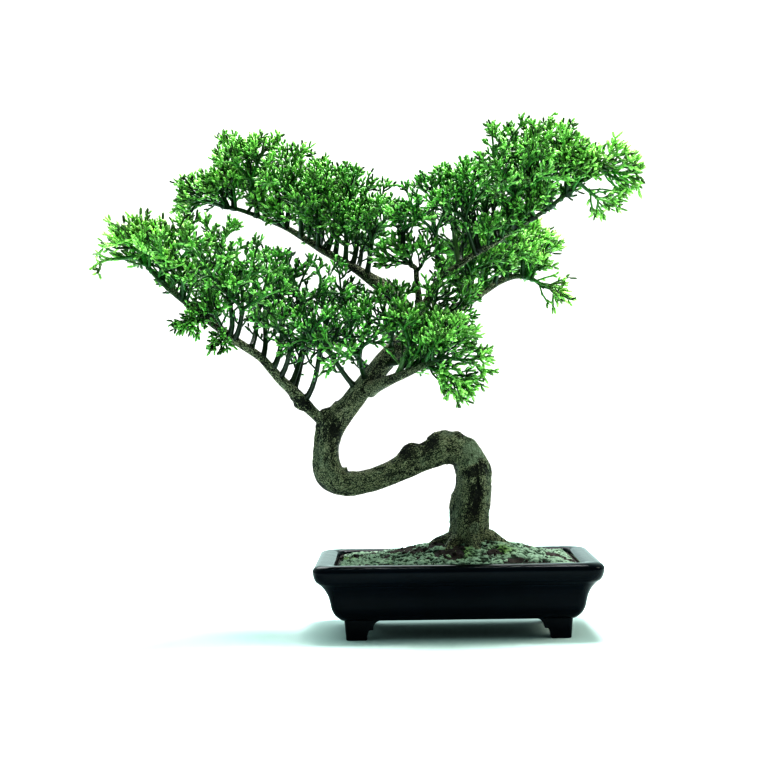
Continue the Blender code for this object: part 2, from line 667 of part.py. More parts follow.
def grow_spray(spray, taken):
    """Shoots of one spray: a stem that forks in three, forks again, and ends in short fingers.

    Each shoot is a dictionary with its parent's index, its side of the parent, its start and end,
    its axis, the inner direction that its corners are counted from, its radius and its level.
    """
    name, limb, place, height, heading = spray
    rng = random.Random(name)
    small = height <= SMALL_SPRAY
    shares = SMALL_SHARES if small else SHOOT_SHARES
    radii = (SHOOT_RADII[0] * (SMALL_STEM if small else 1.0), *SHOOT_RADII[1:])
    middle, limb_radius, along = point_on_limb(limb, place)
    axis = unit(np.array(heading, float))
    normal = unit(axis - STEM_SLANT * (axis @ along) * along)
    start = middle + normal * (limb_radius + GAP)
    pull = unit(axis + np.array((0.0, 0.0, LIGHT if axis[2] > HANGING else 0.0)))
    inner = unit(np.cross(axis, INNER_GUIDE))
    end = start + axis * height * shares[0] * rng.uniform(*STEM_SPREAD)
    shoots = [dict(parent=-1, side=0, start=start, end=end, axis=axis, inner=inner, normal=normal,
                   radius=radii[0], level=0)]
    first_index = len(taken.radii)
    seat = min(STEM_SEAT_SHARE, STEM_SEAT / np.linalg.norm(end - start))
    if taken.gap(start, end, radii[0], [], seat) < SHOOT_CLEARANCE:
        raise RuntimeError(f"{name} has no room for its stem")
    taken.add(start, end, radii[0])
    index = 0
    while index < len(shoots):
        parent = shoots[index]
        level = parent["level"] + 1
        index += 1
        if level > len(shares):
            continue
        family = []
        for side in range(FORK_WAYS):
            for _ in range(TRIES):
                axis = shoot_heading(parent["axis"], parent["inner"], side, rng, pull)
                length = rng.uniform(*FINGER_LENGTH)
                if level < len(shares):
                    length = height * shares[level] * rng.uniform(*LENGTH_SPREAD)
                end = parent["end"] + axis * length
                radius = radii[level if level < len(shares) else -1]
                skipped = [first_index + index - 1] + [number for number, _ in family]
                if least_angle(axis, family) < SIBLING_ANGLE:
                    continue
                if taken.gap(parent["end"], end, radius, skipped) < SHOOT_CLEARANCE:
                    continue
                inner = unit(parent["axis"] - (parent["axis"] @ axis) * axis)
                family.append((len(taken.radii), axis))
                taken.add(parent["end"], end, radius)
                shoots.append(dict(parent=index - 1, side=side, start=parent["end"], end=end, axis=axis,
                                   inner=inner, radius=radius, level=level))
                break
    return shoots


def shoot_spokes(shoot):
    """Directions of a shoot's three corners; the last one is its inner direction."""
    return [turned(shoot["inner"], shoot["axis"], degrees) for degrees in (120, 240, 0)]


def shoot_corners(shoot):
    """The three corners at a shoot's tapered end."""
    radius = shoot["radius"] * SHOOT_TAPER
    return [shoot["end"] + radius * spoke for spoke in shoot_spokes(shoot)]


def surface_distance(surface, point):
    """Distance of a point in millimetres from the wood's surface, negative inside."""
    place, normal, _, distance = surface.find_nearest(Vector(point) * MM)
    side = (Vector(point) * MM - place).dot(normal)
    return math.copysign(distance, side) / MM


def stem_seat(shoot, surface):
    """The three corners of a stem's foot, level with the bark and just clear of it."""
    corners = []
    for spoke in shoot_spokes(shoot):
        slide = -(spoke @ shoot["normal"]) / (shoot["axis"] @ shoot["normal"])
        corners.append(shoot["start"] + shoot["radius"] * (spoke + slide * shoot["axis"]))
    for _ in range(SEAT_STEPS):
        nearest = min(surface_distance(surface, point) for point in (*corners, sum(corners) / 3))
        if GAP <= nearest < SEAT_MOST:
            break
        corners = [corner + (SEAT_AIM - nearest) * shoot["normal"] for corner in corners]
    return corners


def make_spray(name, shoots, surface):
    """A spray's mesh: three-sided tapering shoots that share their corners at each fork."""
    points = stem_seat(shoots[0], surface)
    faces = [(2, 1, 0)]
    ends = {}

    def add_shoot(index, base):
        first = len(points)
        points.extend(shoot_corners(shoots[index]))
        ends[index] = (first, first + 1, first + 2)
        for corner in range(3):
            after = (corner + 1) % 3
            faces.append((base[corner], base[after], first + after))
            faces.append((base[corner], first + after, first + corner))

    add_shoot(0, (0, 1, 2))
    for index, shoot in enumerate(shoots):
        grown = {other["side"]: number for number, other in enumerate(shoots) if other["parent"] == index}
        corners = ends[index]
        if not grown:
            faces.append(corners)
            continue
        peak = len(points)
        points.append(shoot["end"] + shoot["axis"] * FORK_PEAK * shoot["radius"])
        for side in range(3):
            base = (corners[side], corners[(side + 1) % 3], peak)
            if side in grown:
                add_shoot(grown[side], base)
            else:
                faces.append(base)
    return add_mesh_object(name, points, faces, FOLIAGE, 60.0)


def make_sprays(wood):
    """Every spray, each grown clear of the wood and of the ones before it."""
    shell = bmesh.new()
    shell.from_mesh(wood.data)
    surface = BVHTree.FromBMesh(shell)
    shell.free()
    taken = Taken()
    take_wood(taken)
    sprays = []
    for spray in planned_sprays():
        shoots = grow_spray(spray, taken)
        sprays.append(make_spray(spray[0], shoots, surface))
    return sprays


def centre_on_ground(items):
    """Move every mesh so that the middle of the whole footprint is the origin."""
    corners = np.array([vertex.co[:] for item in items for vertex in item.data.vertices])
    middle = (corners.min(axis=0) + corners.max(axis=0)) / 2
    for item in items:
        for vertex in item.data.vertices:
            vertex.co.x -= middle[0]
            vertex.co.y -= middle[1]


def main():
    clear_scene()
    pot = make_pot()
    screens = [make_screen("drain_screen_left", -DRAIN_X), make_screen("drain_screen_right", DRAIN_X)]
    wood = make_wood()
    soil = make_soil()
    cut_soil(soil)
    sprays = make_sprays(wood)
    centre_on_ground([pot, soil, wood, *screens, *sprays])


main()
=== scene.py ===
"""Looks of a juniper bonsai in a glazed tray: fine bark, soil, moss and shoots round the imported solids.

Lengths are in millimetres in the tray's own frame, whose origin is the tray's centre on the ground:
+X is the viewer's right, +Y is away from the viewer and +Z is up. Shells.build turns them into metres
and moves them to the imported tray.
"""

import math
import random

import bmesh
import bpy
import numpy as np
from mathutils import Color, Matrix, Vector


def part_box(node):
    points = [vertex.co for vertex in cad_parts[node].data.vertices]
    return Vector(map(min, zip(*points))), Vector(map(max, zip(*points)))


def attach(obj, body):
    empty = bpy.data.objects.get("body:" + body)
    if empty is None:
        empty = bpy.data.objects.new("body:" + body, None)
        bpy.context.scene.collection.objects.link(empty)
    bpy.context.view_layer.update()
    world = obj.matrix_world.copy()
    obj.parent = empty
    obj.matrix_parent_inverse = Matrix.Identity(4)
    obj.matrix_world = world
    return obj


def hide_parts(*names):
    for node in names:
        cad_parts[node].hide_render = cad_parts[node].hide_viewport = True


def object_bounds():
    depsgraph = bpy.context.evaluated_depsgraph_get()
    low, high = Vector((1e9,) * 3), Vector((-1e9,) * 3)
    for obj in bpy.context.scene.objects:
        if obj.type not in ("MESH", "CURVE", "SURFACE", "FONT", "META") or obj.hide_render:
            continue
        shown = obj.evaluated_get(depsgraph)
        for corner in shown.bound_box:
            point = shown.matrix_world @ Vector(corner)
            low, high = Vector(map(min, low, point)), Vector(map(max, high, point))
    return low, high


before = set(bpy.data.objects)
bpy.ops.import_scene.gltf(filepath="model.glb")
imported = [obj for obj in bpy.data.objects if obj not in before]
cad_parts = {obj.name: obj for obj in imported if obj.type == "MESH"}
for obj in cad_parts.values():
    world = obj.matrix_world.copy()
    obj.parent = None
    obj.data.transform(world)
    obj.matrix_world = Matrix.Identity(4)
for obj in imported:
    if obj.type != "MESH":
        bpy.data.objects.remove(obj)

bl_info = {
    "name": "Juniper Bonsai",
    "version": (1, 0, 0),
    "blender": (4, 5, 0),
    "location": "View3D > Sidebar > Bonsai",
    "description": "Builds a juniper bonsai with its bark, shoots, soil, moss and glazed tray",
    "category": "Add Mesh",
}

MM = 0.001
BODY = "root"

# The tray's centre on the ground and the whole object's box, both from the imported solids
TRAY_LOW, TRAY_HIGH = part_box("pot")
PLACE = np.array([(TRAY_LOW.x + TRAY_HIGH.x) / 2, (TRAY_LOW.y + TRAY_HIGH.y) / 2, 0.0])
CAD_LOW, CAD_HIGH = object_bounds()
SCREENS = ("drain_screen_left", "drain_screen_right")

# Tray: rim, corners that sharpen inwards, and heights
RIM_HALF_WIDTH = (TRAY_HIGH.x - TRAY_LOW.x) / 2 / MM
RIM_HALF_DEPTH = (TRAY_HIGH.y - TRAY_LOW.y) / 2 / MM
RIM_TOP = TRAY_HIGH.z / MM
RIM_CORNER = 9.0
CORNER_SHRINK = 0.35
CORNER_LEAST = 2.0
CORNER_STEPS = 14
SIDE_STEPS = 24
FLOOR_TOP = 15.0
UNDERSIDE = 10.5

# Outside of the tray from the underside up and over the rim, then down the inside to the floor,
# as (distance in from the rim's outer edge, height)
TRAY_PROFILE = (
    (15.6, UNDERSIDE), (14.0, 10.8), (11.2, 13.2), (9.4, 16.5), (8.5, 20.5), (7.7, 23.5), (6.2, 26.5),
    (4.0, 29.2), (1.7, 31.2), (0.5, 33.6), (0.0, 36.4), (0.5, 38.3), (1.9, 39.4), (4.2, RIM_TOP),
    (7.4, 39.95), (9.6, 39.5), (10.9, 38.2), (11.5, 35.0), (12.8, 26.0), (14.0, 19.0),
    (16.0, 16.2), (19.0, FLOOR_TOP),
)
PROFILE_STEPS = 4

# Closeness in metres at which the tray's points are one, the least angle of a sharp edge, and the
# faces with three corners of a surface made of quads alone
WELD_GAP = 0.00001
SHARP_ANGLE = math.radians(50)
NO_TRIANGLES = np.zeros((0, 3), int)

# Bracket feet: an L in plan whose arms shorten downwards by a cove, a shelf and a small round
FOOT_INSET = 15.6
FOOT_THICKNESS = 8.0
FOOT_MIDDLE = 0.6
FOOT_EDGE = 2.5
FOOT_TOP = UNDERSIDE + 1.7
FOOT_BATTER = 0.08
FOOT_ARM_LOW = ((0.0, 10.4), (0.5, 10.8), (1.6, 11.0), (2.6, 11.25), (3.6, 11.6), (4.5, 12.0), (5.3, 12.5))
FOOT_COVE_RADIUS = 5.0
FOOT_COVE_STEPS = 10
FOOT_EDGE_STEPS = 6
FOOT_SHELF_ARM = 14.5
FOOT_SHELF_Z = 5.5

# Drainage holes, the steps of their rounding, the rings of points round them and the seam between them
DRAIN_X = 32.0
DRAIN_RADIUS = 7.0
DRAIN_ROUND = 0.6
DRAIN_STEPS = 3
FLOOR_RINGS = 7
FLOOR_SEAM_STEPS = 12

# Soil: edge height, mound over the roots, gentle lumps, and where it meets the tray
SOIL_EDGE = 37.4
SOIL_TOP_INSET = 11.75
SOIL_HALF = np.array([RIM_HALF_WIDTH, RIM_HALF_DEPTH]) - SOIL_TOP_INSET
SOIL_FADE = 3.0
SOIL_SKIRT = ((11.95, 34.0), (13.15, 26.0), (14.4, 19.2), (16.4, 16.9), (19.3, 16.6))
SOIL_CORNER = 5.0
SOIL_STEPS = (170, 110)
MOUND_X = 7.0
MOUND_HEIGHT = 10.5
MOUND_SPREAD = (31.0, 19.0)
MOUND_EDGE_POWER = 6
LUMP_HEIGHT = 0.45
LUMP_WAVE_X = (0.21, 0.9)
LUMP_WAVE_Y = (0.27, -0.4)
LUMP_SLANT = (0.43, -0.31)
LUMP_SLANT_SHARE = 0.6

# Clods, crumbs and grit: lattice cells in a millimetre, and height as a share of the clods'
CLOD_PITCH = (0.15, 0.24, 1)
CRUMB_PITCH = (0.32, 0.55, 1)
CRUMB_SHARE = 0.55
GRIT_PITCH = 1.1
GRIT_SHARE = 0.3

# Loose crumbs: half the width and depth that they and the moss shoots are strewn over, smallest as a
# share of the largest, how rare large ones are, largest radius, stretch, knocks and share above the soil
STREWN = (62.0, 39.0)
GRAIN_SMALLEST = 0.35
GRAIN_RARITY = 1.6
GRAIN_RADIUS = 1.3
GRAIN_STRETCH = (0.7, 1.35)
GRAIN_KNOCK = 0.22
GRAIN_RAISED = 0.15
GRAIN_RINGS = (0.62, 1.25, 1.9, 2.5)
GRAIN_SIDES = 6

# Moss: cushion height, grid, fade at the tray's wall, and the greenest patches as (x, y, reach)
MOSS_HEIGHT = 1.6
MOSS_STEPS = (256, 152)
MOSS_FADE = 3.5
SUNNY_MOSS = ((2.0, -21.0, 7.0), (24.0, -17.0, 6.0), (-58.0, 2.0, 6.0))

# Moss noise in lattice cells for each millimetre: cushions, lobes, scales with their lean, and tufts
CUSHION_PITCH = (0.10, 0.15, 1)
LOBE_PITCH = (0.24, 0.4, 1)
SCALE_PITCH = (0.30, 0.62)
SCALE_LEAN = 0.175
TUFT_PITCH = (1.0, 1.5, 1)

# Where moss is bare: noise below the first value, and more of it in front of a line; then how much
# more noise makes a whole cushion
MOSS_BARE = 0.74
MOSS_FRONT_BARE = 0.3
MOSS_FRONT_Y = -30
MOSS_FRONT_REACH = 8
MOSS_RAMP = 0.55

# Moss shoots: room left round the trunk and at the wall, least height of moss, rise, lean and radius
MOSS_TRUNK_ROOM = 8.5
MOSS_WALL_ROOM = 2.5
MOSS_LEAST = 0.5
MOSS_RISE = (0.35, 0.9)
MOSS_LEAN = 0.5
MOSS_RADIUS = (0.24, 0.44)
MOSS_SIDES = 4

# Wood: rows of (x, y, z, radius) along the middle of each limb
TRUNK = (
    (6, 0, 22, 11.5), (6.5, 0, 34, 12.6), (7, 0, 46, 12.2), (8, 0, 62, 11.0), (9, 0, 75, 10.6),
    (9, -1, 86, 10.2), (5.5, -2, 95, 9.9), (-5, -3, 99, 9.2), (-18, -4, 94.5, 8.0),
    (-33, -6, 87, 7.1), (-47, -7, 81.5, 6.7), (-59, -7, 80.5, 6.8), (-67, -6, 87, 7.0),
    (-69, -5, 98, 6.7), (-67, -4, 109, 7.1), (-60, -3, 120, 6.7), (-50, -1, 133, 6.2),
    (-38, 1, 146, 5.8), (-28, 3, 156, 5.3), (-21, 5, 164, 4.6), (-18, 6, 169, 3.4),
)
LIMB_LEFT = (
    (-67, -4, 110, 4.8), (-75, -8, 117.5, 4.0), (-83, -11, 127, 3.8), (-92, -15, 136, 3.2),
    (-105, -20, 150, 2.6), (-118, -24, 162, 2.4), (-132, -28, 174, 2.0), (-146, -32, 186, 1.6),
    (-157, -34, 195, 1.2), (-166, -36, 201, 0.9),
)
LIMB_BACK = (
    (-20, 5, 164, 4.4), (-26, 9, 173.5, 4.8), (-34, 13, 183, 4.8), (-44, 17, 190.5, 3.8),
    (-52, 21, 196, 2.9), (-61, 25, 201.5, 2.6), (-70, 29, 207, 2.5), (-79, 32, 213, 2.2),
    (-90, 35, 220, 1.8), (-102, 38, 225.5, 1.5), (-116, 40, 231, 1.3), (-127, 41, 234, 1.0),
)
LIMB_RIGHT = (
    (-20, 5, 164, 3.6), (-15, 3, 173, 3.0), (-11, 1, 182, 2.5), (-6, -1, 189, 2.1),
    (2, -3, 194.5, 1.9), (11, -5, 200.5, 1.8), (21, -7, 206, 1.7), (29, -9, 211, 1.5),
    (37, -10, 216, 1.4), (45, -11, 220.5, 1.3), (53, -12, 226, 1.2), (63, -13, 233.5, 1.2),
    (71, -14, 240, 1.0), (79, -14, 245, 0.8),
)
LIMB_REAR = (
    (-22, 5, 161, 3.6), (-12, 16, 166, 3.0), (-1, 26, 172, 2.6), (10, 34, 178, 2.5),
    (19, 41, 184, 2.3), (28, 47, 189.5, 2.0), (38, 52, 192.5, 1.5), (47, 55, 191, 1.1),
    (54, 57, 186, 0.9),
)
LIMB_FRONT = (
    (-47, -3, 132, 4.2), (-39, -14, 135.5, 3.3), (-32, -22, 138.5, 2.6), (-25, -30, 141, 2.1),
    (-18, -37, 144, 1.7), (-11, -43, 146, 1.3), (-4, -48, 148, 0.9),
)
LIMB_SIDE = (
    (-17, 4, 168, 2.6), (-18, -4, 180, 1.7), (-19, -9, 189, 1.4), (-19.5, -11, 194, 1.3),
    (-23.5, -13, 197, 1.1), (-26, -14, 201, 1.0), (-26, -15, 207, 0.8),
)

# Each limb with its steps between points in the solids and the direction its angles count from
FRONT = (0.0, -1.0, 0.0)
UP = (0.0, 0.0, 1.0)
LIMBS = {
    "trunk": (TRUNK, 2, FRONT), "left": (LIMB_LEFT, 1, FRONT), "back": (LIMB_BACK, 1, FRONT),
    "right": (LIMB_RIGHT, 1, FRONT), "rear": (LIMB_REAR, 1, UP), "front": (LIMB_FRONT, 1, UP),
    "side": (LIMB_SIDE, 1, FRONT),
}

# Knobs, scars and swellings, as (place along the limb counted in points, angle in degrees from the
# front by way of the outer side, height, length, width in degrees)
KNOBS = {
    "trunk": (
        (3.4, -95, 1.3, 6, 30), (3.1, 60, 0.9, 9, 24), (4.6, 35, 0.8, 8, 26), (6.2, 70, 1.1, 4, 26),
        (7.3, 80, 1.0, 3, 24), (8.3, 95, 2.9, 4.4, 44), (11.3, 100, 1.6, 2.5, 20), (10.6, 75, 0.9, 3, 26),
        (14.35, -78, 3.4, 3.6, 30), (14.1, -35, 1.5, 2.6, 24), (14.9, -110, 1.6, 2.4, 26),
        (13.2, -20, 0.7, 5, 30),
        (14.6, 0, 1.3, 2.4, 20), (13.9, -70, 1.0, 1.6, 16), (11.65, -88, 1.9, 6, 38), (12.3, -70, 0.8, 5, 30),
        (16.3, 110, 1.6, 4, 26), (17.2, 60, 0.8, 5, 26), (6.6, 88, 1.4, 1.6, 26), (6.1, 60, 0.9, 1.8, 18),
        (6.9, 100, 1.0, 1.5, 22), (7.15, 70, 0.7, 1.2, 16), (4.9, 84, 0.8, 2.2, 18), (5.2, 68, 0.7, 1.4, 14),
        (8.05, 84, 1.3, 2.4, 22), (3.9, -66, 0.8, 4, 18), (3.3, 40, 0.8, 5, 14), (2.9, -14, 0.8, 6, 14),
    ),
    "left": ((1.75, -100, 2.0, 2.6, 40), (1.55, -60, 1.2, 1.8, 26), (2.1, -80, 0.9, 1.8, 30)),
}

# Flutes that wind round the trunk, as (number round it, turn for each point, offset, share of depth)
FLUTE = 0.05
FLUTES = ((3, 0.55, 0.0, 1.0), (5, -0.8, 1.0, 0.6))
LEAST_RADIUS = 0.3

# Surface roots, as (direction in degrees from +X, reach, radius at the trunk)
ROOTS = ((-4, 29, 4.4), (-72, 26, 3.8), (-128, 26, 3.4), (176, 28, 3.6), (112, 26, 3.8), (47, 27, 3.6))
ROOT_LIFT = ((0.26, 2.8), (0.42, 2.4), (0.60, 1.6), (0.80, -1.0), (1.0, -6.0))
ROOT_TAPER = (1.0, 0.95, 0.72, 0.5, 0.3)
ROOT_BEND = 0.12
ROOT_SINK = 0.3
FLARE_Z = 47.0
FLARE_HEIGHT = 5.0
FLARE_WIDTH = 17.0
FLARE_OUT = 2.0

# Spacing of bark points, the bark's wandering, and collars where a limb leaves its parent
BARK_STEP = 0.75
BARK_WARP = 0.9
BARK_WARP_PITCH = (0.12, 0.12, 0.05)
TRUNK_SIDES = 96
LIMB_SIDES = 28
ROOT_SIDES = 32
COLLAR_SWELL = 0.28
COLLAR_LENGTH = 5.0

# Bark relief: lattice cells in a millimetre across and along the limb, and shares of the depth for
# ridges, plates and crumble. Then the radii from which furrows are full depth and bark is wholly rough,
# how rough the thinnest is, and how much the fibres of the finish are drawn out along the limb.
RIDGE_PITCH = (0.30, 0.30, 0.075)
PLATE_PITCH = (0.62, 0.62, 0.30)
CRUMBLE_PITCH = (0.95, 0.95, 0.62)
RIDGE_SHARE = 0.46
PLATE_SHARE = 0.30
CRUMBLE_SHARE = 0.34
FULL_DEPTH_RADIUS = 11.0
ROUGH_RADIUS = 10.0
THIN_ROUGHNESS = 0.55
FIBRE_DRAW = 0.42

# Young green bark on a limb: where it starts, and how far on it is whole, as shares of the limb
GREEN_START = 0.50
GREEN_REACH = 0.42

# Sprays in rows along a limb, as (node name, limb, first and last place in points, how many,
# heights at the start, middle and end, sideways leans at the start and end)
SPRAY_ROWS = (
    ("spray_left", "left", 1.7, 8.3, 9, (82, 70, 32), (0.34, -0.30)),
    ("spray_back", "back", 3.3, 10.4, 8, (56, 64, 48), (0.22, -0.26)),
    ("spray_right", "right", 3.2, 12.0, 9, (66, 69, 32), (-0.18, 0.06)),
    ("spray_rear", "rear", 3.0, 6.6, 4, (38, 40, 31), (0.10, 0.35)),
    ("spray_front", "front", 2.4, 5.2, 3, (38, 34, 28), (0.45, 0.80)),
)
DEPTH_LEANS = (-0.42, 0.40, -0.12, 0.66, -0.72, 0.16)

# Single sprays, as (node name, limb, place in points, height, heading)
SINGLE_SPRAYS = (
    ("spray_left_tip_low", "left", 9.0, 24, (-1.0, -0.10, -0.12)),
    ("spray_left_tip_high", "left", 8.8, 28, (-0.50, 0.15, 1.0)),
    ("spray_left_under", "left", 6.2, 20, (-0.35, -0.50, -0.85)),
    ("spray_back_tip_low", "back", 11.0, 32, (-1.0, 0.10, 0.30)),
    ("spray_back_tip_high", "back", 10.7, 32, (-0.55, -0.20, 1.0)),
    ("spray_right_tip_low", "right", 11.6, 24, (0.80, 0.35, -0.60)),
    ("spray_right_tip_mid", "right", 12.9, 25, (1.0, 0.05, -0.12)),
    ("spray_right_tip_high", "right", 12.6, 27, (0.62, -0.25, 0.9)),
    ("spray_rear_tip", "rear", 7.8, 18, (0.80, 0.10, -0.45)),
    ("spray_front_tip", "front", 5.8, 25, (1.0, -0.05, -0.10)),
    ("spray_front_low", "front", 4.6, 29, (0.85, 0.10, -0.50)),
    ("spray_side_left", "side", 3.8, 22, (-1.0, -0.15, 0.35)),
    ("spray_side_top", "side", 5.8, 32, (0.05, -0.10, 1.0)),
    ("spray_side_right", "side", 2.6, 26, (0.45, -0.60, 0.9)),
    ("spray_crown_far_left", "trunk", 15.7, 58, (-0.60, -0.45, 0.9)),
    ("spray_crown_left", "trunk", 16.4, 50, (-0.75, 0.40, 0.9)),
    ("spray_crown_low", "trunk", 16.1, 50, (-0.15, -0.95, 0.75)),
    ("spray_crown_front", "trunk", 17.4, 46, (0.10, -0.90, 0.8)),
    ("spray_crown_right", "trunk", 16.9, 52, (0.95, -0.50, 0.30)),
    ("spray_crown_far_right", "trunk", 18.4, 42, (0.85, -0.50, 0.80)),
    ("spray_crown_back", "trunk", 17.7, 42, (-0.30, 1.0, 0.60)),
)

# Growth of a spray: share of its height in the stem and in the two forks above, then the fingers
SHOOT_SHARES = (0.33, 0.29, 0.25)
SMALL_SHARES = (0.44, 0.36)
SMALL_SPRAY = 30.0
LENGTH_SPREAD = (0.8, 1.2)
FINGER_LENGTH = (4.6, 6.4)
SHOOT_RADII = (1.45, 1.15, 0.95, 0.95)
SMALL_STEM = 0.82

# Forks: ways, lean and turn of each way in degrees, and pull to the light
FORK_WAYS = 3
FORK_ANGLE = (30.0, 52.0)
FORK_TURN = 16.0
LIFT = 0.30
LIFT_SPREAD = (0.3, 1.0)
LIGHT = 0.55
HANGING = -0.2
INNER_GUIDE = (0.3, 1.0, 0.2)

# Room: tries for each shoot, least angle in degrees between neighbours, least gap between shoots, how
# much wider the wood is taken to be than it is, and the gap between a stem's foot and its limb
TRIES = 14
SIBLING_ANGLE = 34.0
SHOOT_CLEARANCE = 0.45
WOOD_SWELL = 1.16
SEAT_GAP = 0.3

# Stems: share of the limb's direction taken out of a foot's, and spread of their length. Then the
# points along a new shoot that are tried for room, and the share of its foot that isn't.
STEM_SLANT = 0.85
STEM_SPREAD = (0.92, 1.08)
GAP_SAMPLES = 9
SHOOT_START = 0.15

# More sprays of the same growth between the solids' ones, as (limb, first and last place in points,
# how many, heights at the start, middle and end, sideways leans at the start and end)
EXTRA_ROWS = (
    ("left", 2.2, 8.3, 8, (50, 47, 17), (0.25, -0.25)),
    ("back", 3.9, 10.1, 8, (38, 42, 26), (0.12, -0.12)),
    ("right", 4.4, 11.0, 8, (46, 52, 30), (-0.05, 0.0)),
    ("rear", 2.2, 7.0, 7, (30, 34, 29), (0.10, 0.30)),
    ("front", 1.8, 5.6, 5, (28, 26, 22), (0.45, 0.70)),
)
EXTRA_LEANS = (0.58, -0.52, 0.26, -0.86, 0.90, -0.28)

# Short sprays close to each limb, as (limb, first and last place, how many, least and most height)
LOW_ROWS = (
    ("left", 5.0, 8.2, 10, (13, 24)), ("back", 5.9, 11.0, 11, (12, 22)),
    ("right", 5.6, 11.4, 11, (12, 24)), ("rear", 2.4, 7.5, 8, (11, 20)), ("front", 2.0, 5.9, 6, (11, 18)),
    ("side", 2.0, 5.4, 2, (10, 14)),
)
EXTRA_SINGLES = (
    ("left", 5.8, 12, (-0.3, -0.6, 0.0)), ("left", 5.1, 9, (-0.1, -0.6, -0.25)),
    ("front", 5.2, 21, (0.75, -0.2, -0.75)),
    ("front", 4.4, 13, (0.7, -0.4, -0.3)), ("rear", 6.9, 13, (0.85, 0.0, -0.4)),
    ("right", 13.0, 17, (1.0, -0.1, 0.10)), ("right", 12.9, 17, (0.9, 0.2, -0.40)),
)

# How far some sprays are trimmed to their pad's outline, as shares (across, upwards)
TRIMMED = {
    "spray_left_01": (0.78, 0.84), "spray_left_03": (0.95, 0.92), "spray_left_04": (0.95, 0.82),
    "spray_left_05": (0.95, 0.88), "spray_left_06": (0.90, 0.92), "spray_left_07": (0.90, 0.86),
    "spray_left_08": (0.80, 0.74), "spray_left_09": (0.75, 0.60), "spray_left_under": (0.60, 0.40),
    "spray_left_tip_high": (0.85, 0.62), "spray_left_tip_low": (1.0, 0.55), "spray_back_tip_low": (0.80, 0.70),
    "spray_back_01": (0.65, 0.84), "spray_back_02": (0.80, 0.94), "spray_back_03": (0.85, 0.90),
    "spray_back_04": (0.90, 0.84), "spray_back_05": (0.90, 0.86), "spray_back_07": (0.75, 0.97),
    "spray_back_08": (0.42, 0.88), "spray_back_tip_high": (0.62, 0.60), "spray_right_01": (0.65, 0.90),
    "spray_right_02": (0.75, 0.86), "spray_right_03": (0.80, 0.74), "spray_right_05": (0.70, 0.94),
    "spray_right_06": (0.66, 1.0), "spray_right_07": (0.75, 0.98), "spray_right_08": (0.75, 0.88),
    "spray_right_09": (0.70, 0.36), "spray_right_tip_high": (1.0, 0.60), "spray_rear_tip": (0.60, 0.50),
    "spray_side_top": (0.80, 0.62), "spray_side_left": (0.80, 0.70), "spray_side_right": (0.80, 0.80),
    "spray_crown_front": (0.90, 0.80), "extra_back_0": (0.55, 0.75), "extra_back_7": (0.70, 0.90),
    "extra_right_4": (0.80, 1.0), "extra_right_5": (0.70, 1.0), "extra_right_7": (0.55, 0.90),
}

# Fine growth by tier, counted up from the end shoots to the stem: side twigs for each parent, where
# they start along it, their lean in degrees and their length
SIDE_TWIGS = {
    1: (3, (0.46, 0.98), (26, 52), (4.4, 8.4)),
    2: (4, (0.30, 0.97), (30, 56), (6.0, 11.0)),
    3: (4, (0.45, 0.97), (34, 60), (7.0, 13.0)),
}
# Fingers on each twig in the same order: those round its tip, and those along it
TIP_FINGERS = (3, (0.70, 1.0), (20, 44), (2.4, 4.2))
SIDE_FINGERS = (1, (0.25, 0.60), (30, 48), (2.2, 3.8))
FRESH_STRETCH = 0.6
FRESH_SPARSE = 0.34
FRESH_SWELL = 0.22

# Side shoots: turn round the parent and its spread in radians, most pull to the light, where the bend
# lies along and out from the start as shares of the reach, its spread, and the spread of thickness
GOLDEN_TURN = 2.39996
TURN_SPREAD = 0.35
TWIG_LIFT = 0.35
BEND_ALONG = 0.42
BEND_OUT = 0.16
BEND_SPREAD = 0.05
TWIG_SPREAD = (0.88, 1.12)

# By tier: age at a shoot's foot and tip, thickness there as a share of the solids', and how far it
# follows its parent before it bends, for a shoot with others on it and for an end shoot
TIER_AGES = {3: (1.0, 0.72), 2: (0.72, 0.46), 1: (0.46, 0.24), 0: (0.22, 0.0)}
FORK_REACH = 0.34
END_REACH = 0.2
STEM_THINNING = {3: (1.12, 0.84), 2: (0.90, 0.68), 1: (0.72, 0.56), 0: (0.56, 0.50)}
STEM_SINK = 2.4
TWIG_SIDES = 7
TWIG_RINGS = 6
END_SIDES = 4
END_SHARES = (0.0, 0.48, 0.90)
END_PROFILE = (0.92, 0.95, 1.10)
FINGER_SHARES = (0.36, 0.84)
FINGER_PROFILE = (0.94, 0.90)
TWIG_AGES = (0.82, 0.44)
FINGER_AGES = (0.46, 0.0)

